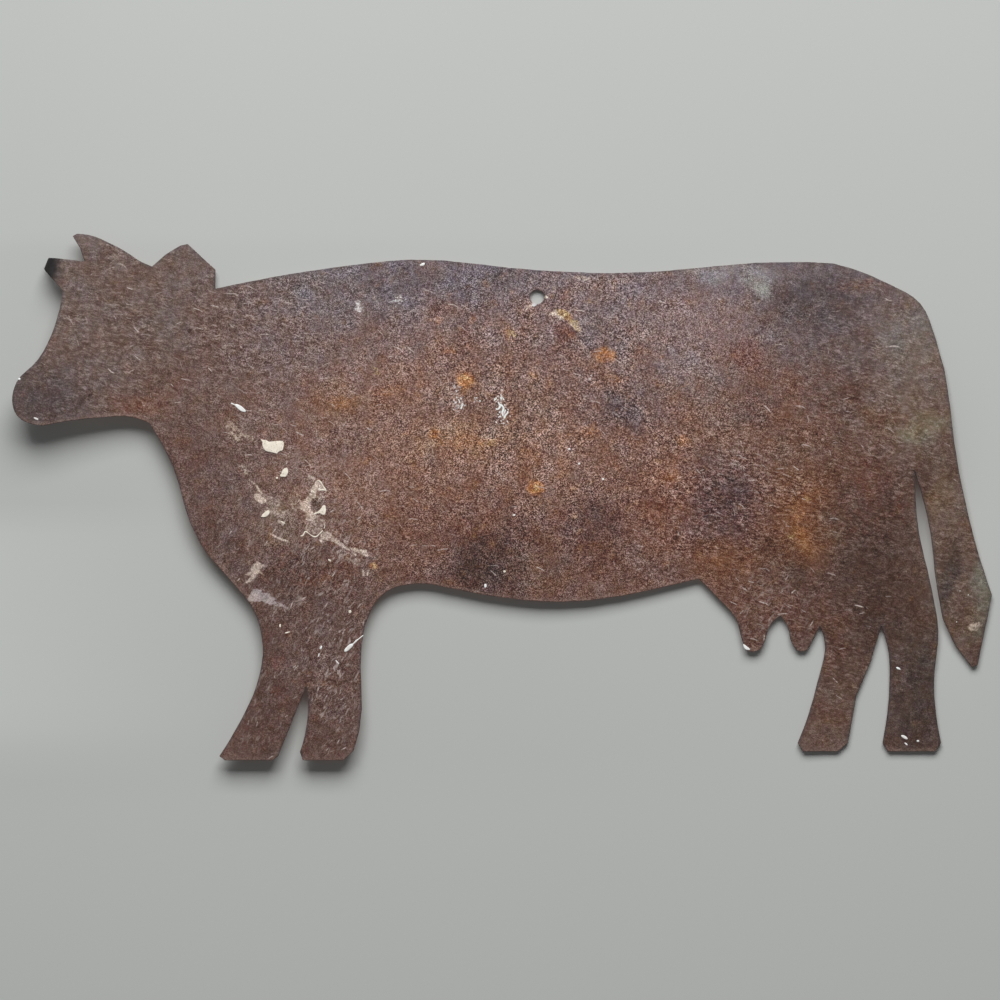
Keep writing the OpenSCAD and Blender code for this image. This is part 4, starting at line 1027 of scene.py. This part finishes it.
CHIPS = [
    ("large_flake", 0.27 * MM, 3, [
        (260.6, 439.2), (264.0, 440.0), (266.6, 440.1), (268.0, 441.2), (269.6, 441.7), (272.5, 441.4), (276.0, 441.0),
        (280.0, 440.8), (282.6, 441.0), (283.8, 442.2), (283.9, 444.2), (283.3, 447.2), (282.9, 449.6), (281.8, 450.7),
        (279.8, 451.0), (278.4, 452.0), (276.9, 453.6), (274.8, 453.0), (272.0, 452.2), (268.6, 451.7), (265.8, 450.8),
        (263.9, 449.0), (262.8, 446.6), (262.3, 444.2), (262.6, 442.4), (261.6, 440.9)]),
    ("upright_flake", 0.27 * MM, 5, [
        (284.8, 467.9), (286.6, 467.7), (287.8, 468.8), (288.2, 470.9), (288.1, 472.8), (287.0, 474.4), (286.3, 476.0),
        (285.2, 476.7), (283.2, 476.6), (281.2, 476.8), (280.0, 475.9), (280.2, 474.6), (281.6, 473.4), (281.7, 471.6),
        (282.6, 469.8)]),
    ("slanting_flake", 0.27 * MM, 7, [
        (260.9, 516.8), (262.3, 514.6), (263.8, 513.0), (265.4, 511.6), (267.2, 510.5), (268.9, 510.2), (269.8, 511.2),
        (269.7, 512.6), (268.7, 514.4), (267.0, 516.1), (265.2, 517.0), (263.2, 517.1)]),
    ("cream_wedge", 0.10 * MM, 11, [
        (323.8, 505.0), (325.4, 505.6), (326.0, 507.6), (326.0, 510.2), (325.4, 513.2), (324.2, 514.7), (322.4, 514.6),
        (320.2, 513.2), (317.4, 513.4), (314.4, 514.6), (312.6, 514.2), (315.0, 512.6), (317.6, 511.6), (319.6, 510.0),
        (321.4, 507.8), (322.6, 505.8)]),
]
RIDGES = [
    ("arch", [(316.4, 481.8, 0.4), (317.6, 480.6, 0.8), (319.2, 480.8, 0.9), (321.0, 482.6, 0.5), (322.8, 485.2, 0.4),
              (324.6, 488.2, 0.7), (326.2, 490.6, 0.8)]),
    ("sill", [(318.6, 490.2, 0.3), (321.0, 489.9, 0.5), (323.4, 489.9, 0.7), (325.8, 490.4, 0.9)]),
    ("blob", [(311.8, 490.6, 0.7), (313.4, 491.8, 1.0), (314.8, 492.8, 0.7)]),
    ("crack", [(300.4, 536.0, 0.3), (302.6, 535.8, 0.7), (304.0, 533.8, 0.8), (304.8, 531.6, 0.9), (306.4, 531.6, 0.8),
               (308.4, 533.2, 0.4), (310.8, 535.0, 0.4), (313.4, 536.6, 0.7), (315.6, 536.9, 0.8), (317.6, 535.8, 0.6),
               (319.6, 533.6, 0.5), (321.4, 532.0, 0.7), (322.8, 530.2, 0.5)]),
    ("stub", [(325.0, 525.0, 0.5), (324.6, 527.0, 0.7), (324.0, 528.6, 0.4)]),
]
# broken strokes of thick paint in the middle of the flank
SCAB_WIDENING = 1.15
SCAB = [
    [(500.4, 394.2, 0.5), (501.8, 396.4, 0.8), (503.2, 398.4, 0.5), (504.2, 400.2, 0.3)],
    [(494.8, 399.9, 0.6), (496.2, 399.0, 0.8), (495.8, 397.4, 0.5)],
    [(498.3, 401.5, 0.6), (498.8, 403.6, 0.8), (500.0, 405.0, 0.9), (501.6, 405.2, 0.7), (503.0, 406.6, 0.8),
     (503.7, 408.4, 1.1), (503.1, 410.2, 1.0), (502.2, 412.2, 1.0), (502.8, 414.6, 0.8), (503.2, 416.4, 0.6)],
    [(500.0, 405.4, 0.6), (500.1, 407.2, 0.7), (498.8, 408.8, 0.9), (497.0, 409.5, 1.0), (495.8, 408.2, 0.6)],
    [(507.4, 411.0, 0.7), (508.0, 412.6, 0.9), (506.8, 413.8, 0.8), (505.4, 415.2, 0.8), (504.5, 417.4, 1.0),
     (504.0, 418.8, 0.6)],
    [(498.2, 417.7, 0.5), (499.2, 416.6, 0.8), (500.4, 416.2, 0.7), (501.3, 417.2, 0.5)],
    [(458.0, 399.0, 0.4), (459.4, 400.8, 0.6), (459.8, 403.0, 0.4)],
    [(463.4, 402.9, 0.4), (461.9, 403.9, 0.7), (462.2, 405.6, 0.7), (461.4, 407.2, 0.5), (460.8, 409.2, 0.7)],
    [(497.2, 396.8, 0.5), (498.6, 395.6, 0.7)], [(500.6, 396.6, 0.6), (501.4, 398.2, 0.8), (500.8, 399.6, 0.5)],
    [(497.6, 399.4, 0.7), (498.4, 400.6, 0.5)], [(494.2, 398.0, 0.4), (494.6, 401.2, 0.5)],
    [(505.2, 404.4, 0.5), (504.0, 405.2, 0.6)], [(506.0, 409.6, 0.5), (505.0, 411.2, 0.8), (504.6, 413.0, 0.6)],
    [(499.0, 411.4, 0.5), (500.0, 413.2, 0.7)], [(497.6, 413.8, 0.5), (498.6, 415.0, 0.5)],
    [(500.6, 420.2, 0.5), (501.6, 421.6, 0.6)], [(501.6, 389.0, 0.3), (502.6, 391.2, 0.4)],
    [(507.6, 408.8, 0.4), (508.6, 410.4, 0.5)], [(509.6, 415.6, 0.4), (510.6, 416.4, 0.4)],
    [(495.4, 421.4, 0.4), (497.0, 423.2, 0.4)], [(506.6, 421.0, 0.4), (508.4, 422.4, 0.4)],
    [(456.4, 396.6, 0.4), (457.2, 398.4, 0.5)], [(460.6, 397.4, 0.4), (461.2, 399.2, 0.5)],
    [(457.6, 404.6, 0.4), (458.6, 406.2, 0.5)], [(454.2, 408.6, 0.4), (453.4, 410.2, 0.4)],
    [(476.2, 397.2, 0.4), (477.4, 398.4, 0.5)], [(479.4, 400.0, 0.5), (480.6, 401.6, 0.5)],
]
# small specks: place across and down the picture, half length, half width, turn
WHITE_SPECKS = [
    (422.5, 264.5, 2.6, 1.4, 20), (485.4, 585.6, 1.2, 1.8, 0), (569, 449, 1.4, 1.0, 10), (579, 463.5, 1.2, 1.2, 0),
    (603, 479, 1.2, 1.0, 0), (514, 515, 1.2, 1.0, 0), (321, 647.4, 2, 1.1, 60), (318.8, 655, 2, 0.7, 75),
    (898.4, 668.4, 2.4, 1.0, -25), (906.2, 744, 2, 0.8, -40), (918, 741, 1.3, 1.0, 0), (36, 418.6, 2.4, 0.9, -20),
    (19.4, 379, 1.3, 1.0, 0), (960, 591, 0.5, 0.45, 0), (968.4, 595, 0.55, 0.5, 0), (956.6, 622, 0.55, 0.5, 0),
    (337, 662, 2.6, 0.8, -50)
]
CREAM_SPECKS = [
    (277, 478, 1.2, 1.0, 0), (350, 611.5, 1.4, 1.4, 0), (329.6, 560.2, 1.8, 1.0, -30), (280, 625.6, 1.0, 1.8, 0),
    (287.6, 632.4, 2.6, 0.7, 15), (547, 297.4, 1.0, 1.0, 0), (504.6, 571.5, 1.4, 1.2, 0),
    (283, 522.4, 2.4, 0.7, -30)
]


def make_plaster():
    settle("plaster_chips", [chip(*shape) for shape in CHIPS], plaster, "plaster_flakes")
    settle("plaster_ridges", [bead(*shape) for shape in RIDGES], plaster)


def make_paint():
    neck = drop("neck_drop", 0.28 * MM, [
        (234.4, 404.4), (236.2, 403.8), (238.8, 404.6), (241.4, 406.0), (243.8, 408.0), (245.6, 410.0), (246.2, 411.4),
        (245.0, 412.3), (242.6, 412.0), (240.4, 411.0), (238.0, 409.0), (236.0, 407.0), (234.6, 405.6)])
    neck_tail = bead("neck_tail", [(230.8, 403.0, 0.4), (232.2, 403.6, 0.7), (233.6, 404.3, 0.6), (235.0, 405.0, 0.7)])
    leg = drop("leg_drop", 0.28 * MM, [
        (343.8, 650.4), (345.2, 648.4), (347.2, 646.2), (349.4, 644.3), (351.2, 643.6), (353.6, 643.5), (353.3, 645.4),
        (352.4, 647.0), (350.6, 648.4), (348.8, 650.4), (346.8, 651.8), (344.4, 652.2)])
    leg_tail = bead("leg_tail", [(352.8, 644.0, 0.5), (354.6, 642.6, 0.5), (356.0, 641.0, 0.9), (358.6, 639.0, 0.8),
                                 (361.0, 637.0, 0.6), (363.4, 635.2, 0.4)])
    teat = drop("teat_drop", 0.26 * MM, [
        (742.6, 643.6), (744.2, 644.2), (746.4, 646.0), (748.8, 647.6), (750.6, 649.6), (749.0, 650.4), (746.6, 650.1),
        (744.8, 649.2), (743.6, 647.4)])
    hoof = drop("hoof_drop", 0.22 * MM, [
        (900.6, 735.4), (902.6, 734.8), (904.8, 735.6), (906.8, 737.0), (908.4, 739.4), (906.4, 739.6), (903.8, 738.6),
        (901.6, 737.0)])
    settle("paint_splashes", [neck, neck_tail, leg, leg_tail, teat, hoof], dried_paint, "paint_drops")
    strokes = [bead("stroke", path, SCAB_WIDENING) for path in SCAB]
    settle("paint_scab", strokes, dried_paint)


def make_specks(name, specks, finish):
    made = []
    for count, (px, py, long, wide, turn) in enumerate(specks):
        bpy.ops.object.select_all(action="DESELECT")
        bpy.ops.mesh.primitive_ico_sphere_add(subdivisions=2, radius=UNIT, location=(0.0, 0.0, 0.0))
        speck = bpy.context.active_object
        edit_all()
        bpy.ops.transform.vertex_random(offset=0.25 * UNIT, uniform=0.1, normal=0.2, seed=count + 1)
        bpy.ops.transform.resize(value=(long, 0.30, wide))
        done()
        speck.rotation_euler = (0.0, math.radians(-turn), 0.0)
        speck.location = (across(px), FACE_Y, up(py))
        bpy.ops.object.transform_apply(location=True, rotation=True, scale=True)
        made.append(speck)
    settle(name, made, finish)


make_sheet()
make_plaster()
make_paint()
make_specks("white_specks", WHITE_SPECKS, dried_paint)
make_specks("cream_specks", CREAM_SPECKS, plaster)


# ---------------------------------------------------------------- wall, floor and room

WALL_HALF = 2.5
WALL_CELLS = 200
CLOSE_SHARE = 0.1                # cells behind the cow are this much of their even width
WALL_GAP = 0.5 * MM              # between the sheet's back and the boards at the hole
FLOOR_Z = -0.262


def stage_finish(name, shade):
    """A plain pale surface that only the camera sees, so that it neither hides nor darkens the sheet's back."""
    finish = bpy.data.materials.new(name)
    finish.use_nodes = True
    finish.node_tree.nodes.clear()
    p = Palette(finish.node_tree)
    matt, clear, blend = p.add("BsdfDiffuse"), p.add("BsdfTransparent"), p.add("MixShader")
    matt.inputs["Color"].default_value = (*shade, 1.0)
    path = p.add("LightPath").outputs
    seen = p.most(path["Is Camera Ray"], path["Is Glossy Ray"])
    front = p.minus(1.0, p.add("NewGeometry").outputs["Backfacing"])
    for socket, value in zip(blend.inputs, (p.times(seen, front), clear.outputs[0], matt.outputs[0])):
        p.feed(socket, value)
    p.feed(p.add("OutputMaterial").inputs["Surface"], blend.outputs[0])
    return finish


def boards_away(x, z):
    """How far the boards are drawn back from the sheet.

    The old sheet is not quite flat. It lies on the boards near its hole and its hind feet, while the muzzle, the
    fore feet and the root of the tail stand off.
    """
    along, below = np.clip(x, -200 * MM, 170 * MM), np.clip(-z, -20 * MM, 175 * MM)
    droop = 0.0215 * np.clip((0.110 - along) / 0.110, 0.0, 1.0)
    fore_feet = 0.006 * np.clip((-0.040 - along) / 0.030, 0.0, 1.0)
    muzzle = 0.60 * np.maximum(-0.070 - along, 0.0) ** 2 + 0.020 * np.clip((-0.110 - along) / 0.050, 0.0, 1.0) * below
    above_feet = np.clip((z + 0.160) / 0.080, 0.0, 1.0)
    tail = 4.5 * MM * np.exp(-((x - 0.139) / 0.014) ** 2 - ((z + 0.078) / 0.036) ** 2)
    return WALL_GAP + (droop + fore_feet) * below + muzzle * above_feet + tail


def make_stage():
    bpy.ops.object.select_all(action="DESELECT")
    bpy.ops.mesh.primitive_grid_add(x_subdivisions=WALL_CELLS, y_subdivisions=WALL_CELLS, size=2 * WALL_HALF,
                                    location=(0.0, 0.0, 0.0), rotation=(math.radians(90.0), 0.0, 0.0))
    wall = bpy.context.active_object
    wall.name = "wall"
    bpy.ops.object.transform_apply(location=True, rotation=True, scale=True)
    place = corners(wall.data)
    share = place[:, (0, 2)] / WALL_HALF
    place[:, (0, 2)] = WALL_HALF * (CLOSE_SHARE * share + (1.0 - CLOSE_SHARE) * share ** 3)
    place[:, 1] = BACK_Y + boards_away(place[:, 0], place[:, 2])
    move_corners(wall.data, place)
    bpy.ops.object.shade_smooth()
    wall.data.materials.append(stage_finish("pale_boards", tone(188, 190, 187)))
    bpy.ops.object.select_all(action="DESELECT")
    bpy.ops.mesh.primitive_plane_add(size=8.0, location=(0.0, 0.0, FLOOR_Z))
    floor = bpy.context.active_object
    floor.name = "floor"
    floor.data.materials.append(stage_finish("pale_floor", tone(196, 197, 194)))


def make_room():
    """A faint even light from all round, and a pale backdrop that only the camera sees."""
    world = bpy.data.worlds.new("room")
    bpy.context.scene.world = world
    world.use_nodes = True
    world.node_tree.nodes.clear()
    p = Palette(world.node_tree)
    seen, fill, choose = p.add("Background"), p.add("Background"), p.add("MixShader")
    seen.inputs["Color"].default_value = (*tone(206, 207, 205), 1.0)
    fill.inputs["Color"].default_value = (0.95, 0.98, 1.0, 1.0)
    fill.inputs["Strength"].default_value = 0.13
    is_camera = p.add("LightPath").outputs["Is Camera Ray"]
    for socket, value in zip(choose.inputs, (is_camera, fill.outputs[0], seen.outputs[0])):
        p.feed(socket, value)
    p.feed(p.add("OutputWorld").inputs["Surface"], choose.outputs[0])


make_stage()
make_room()
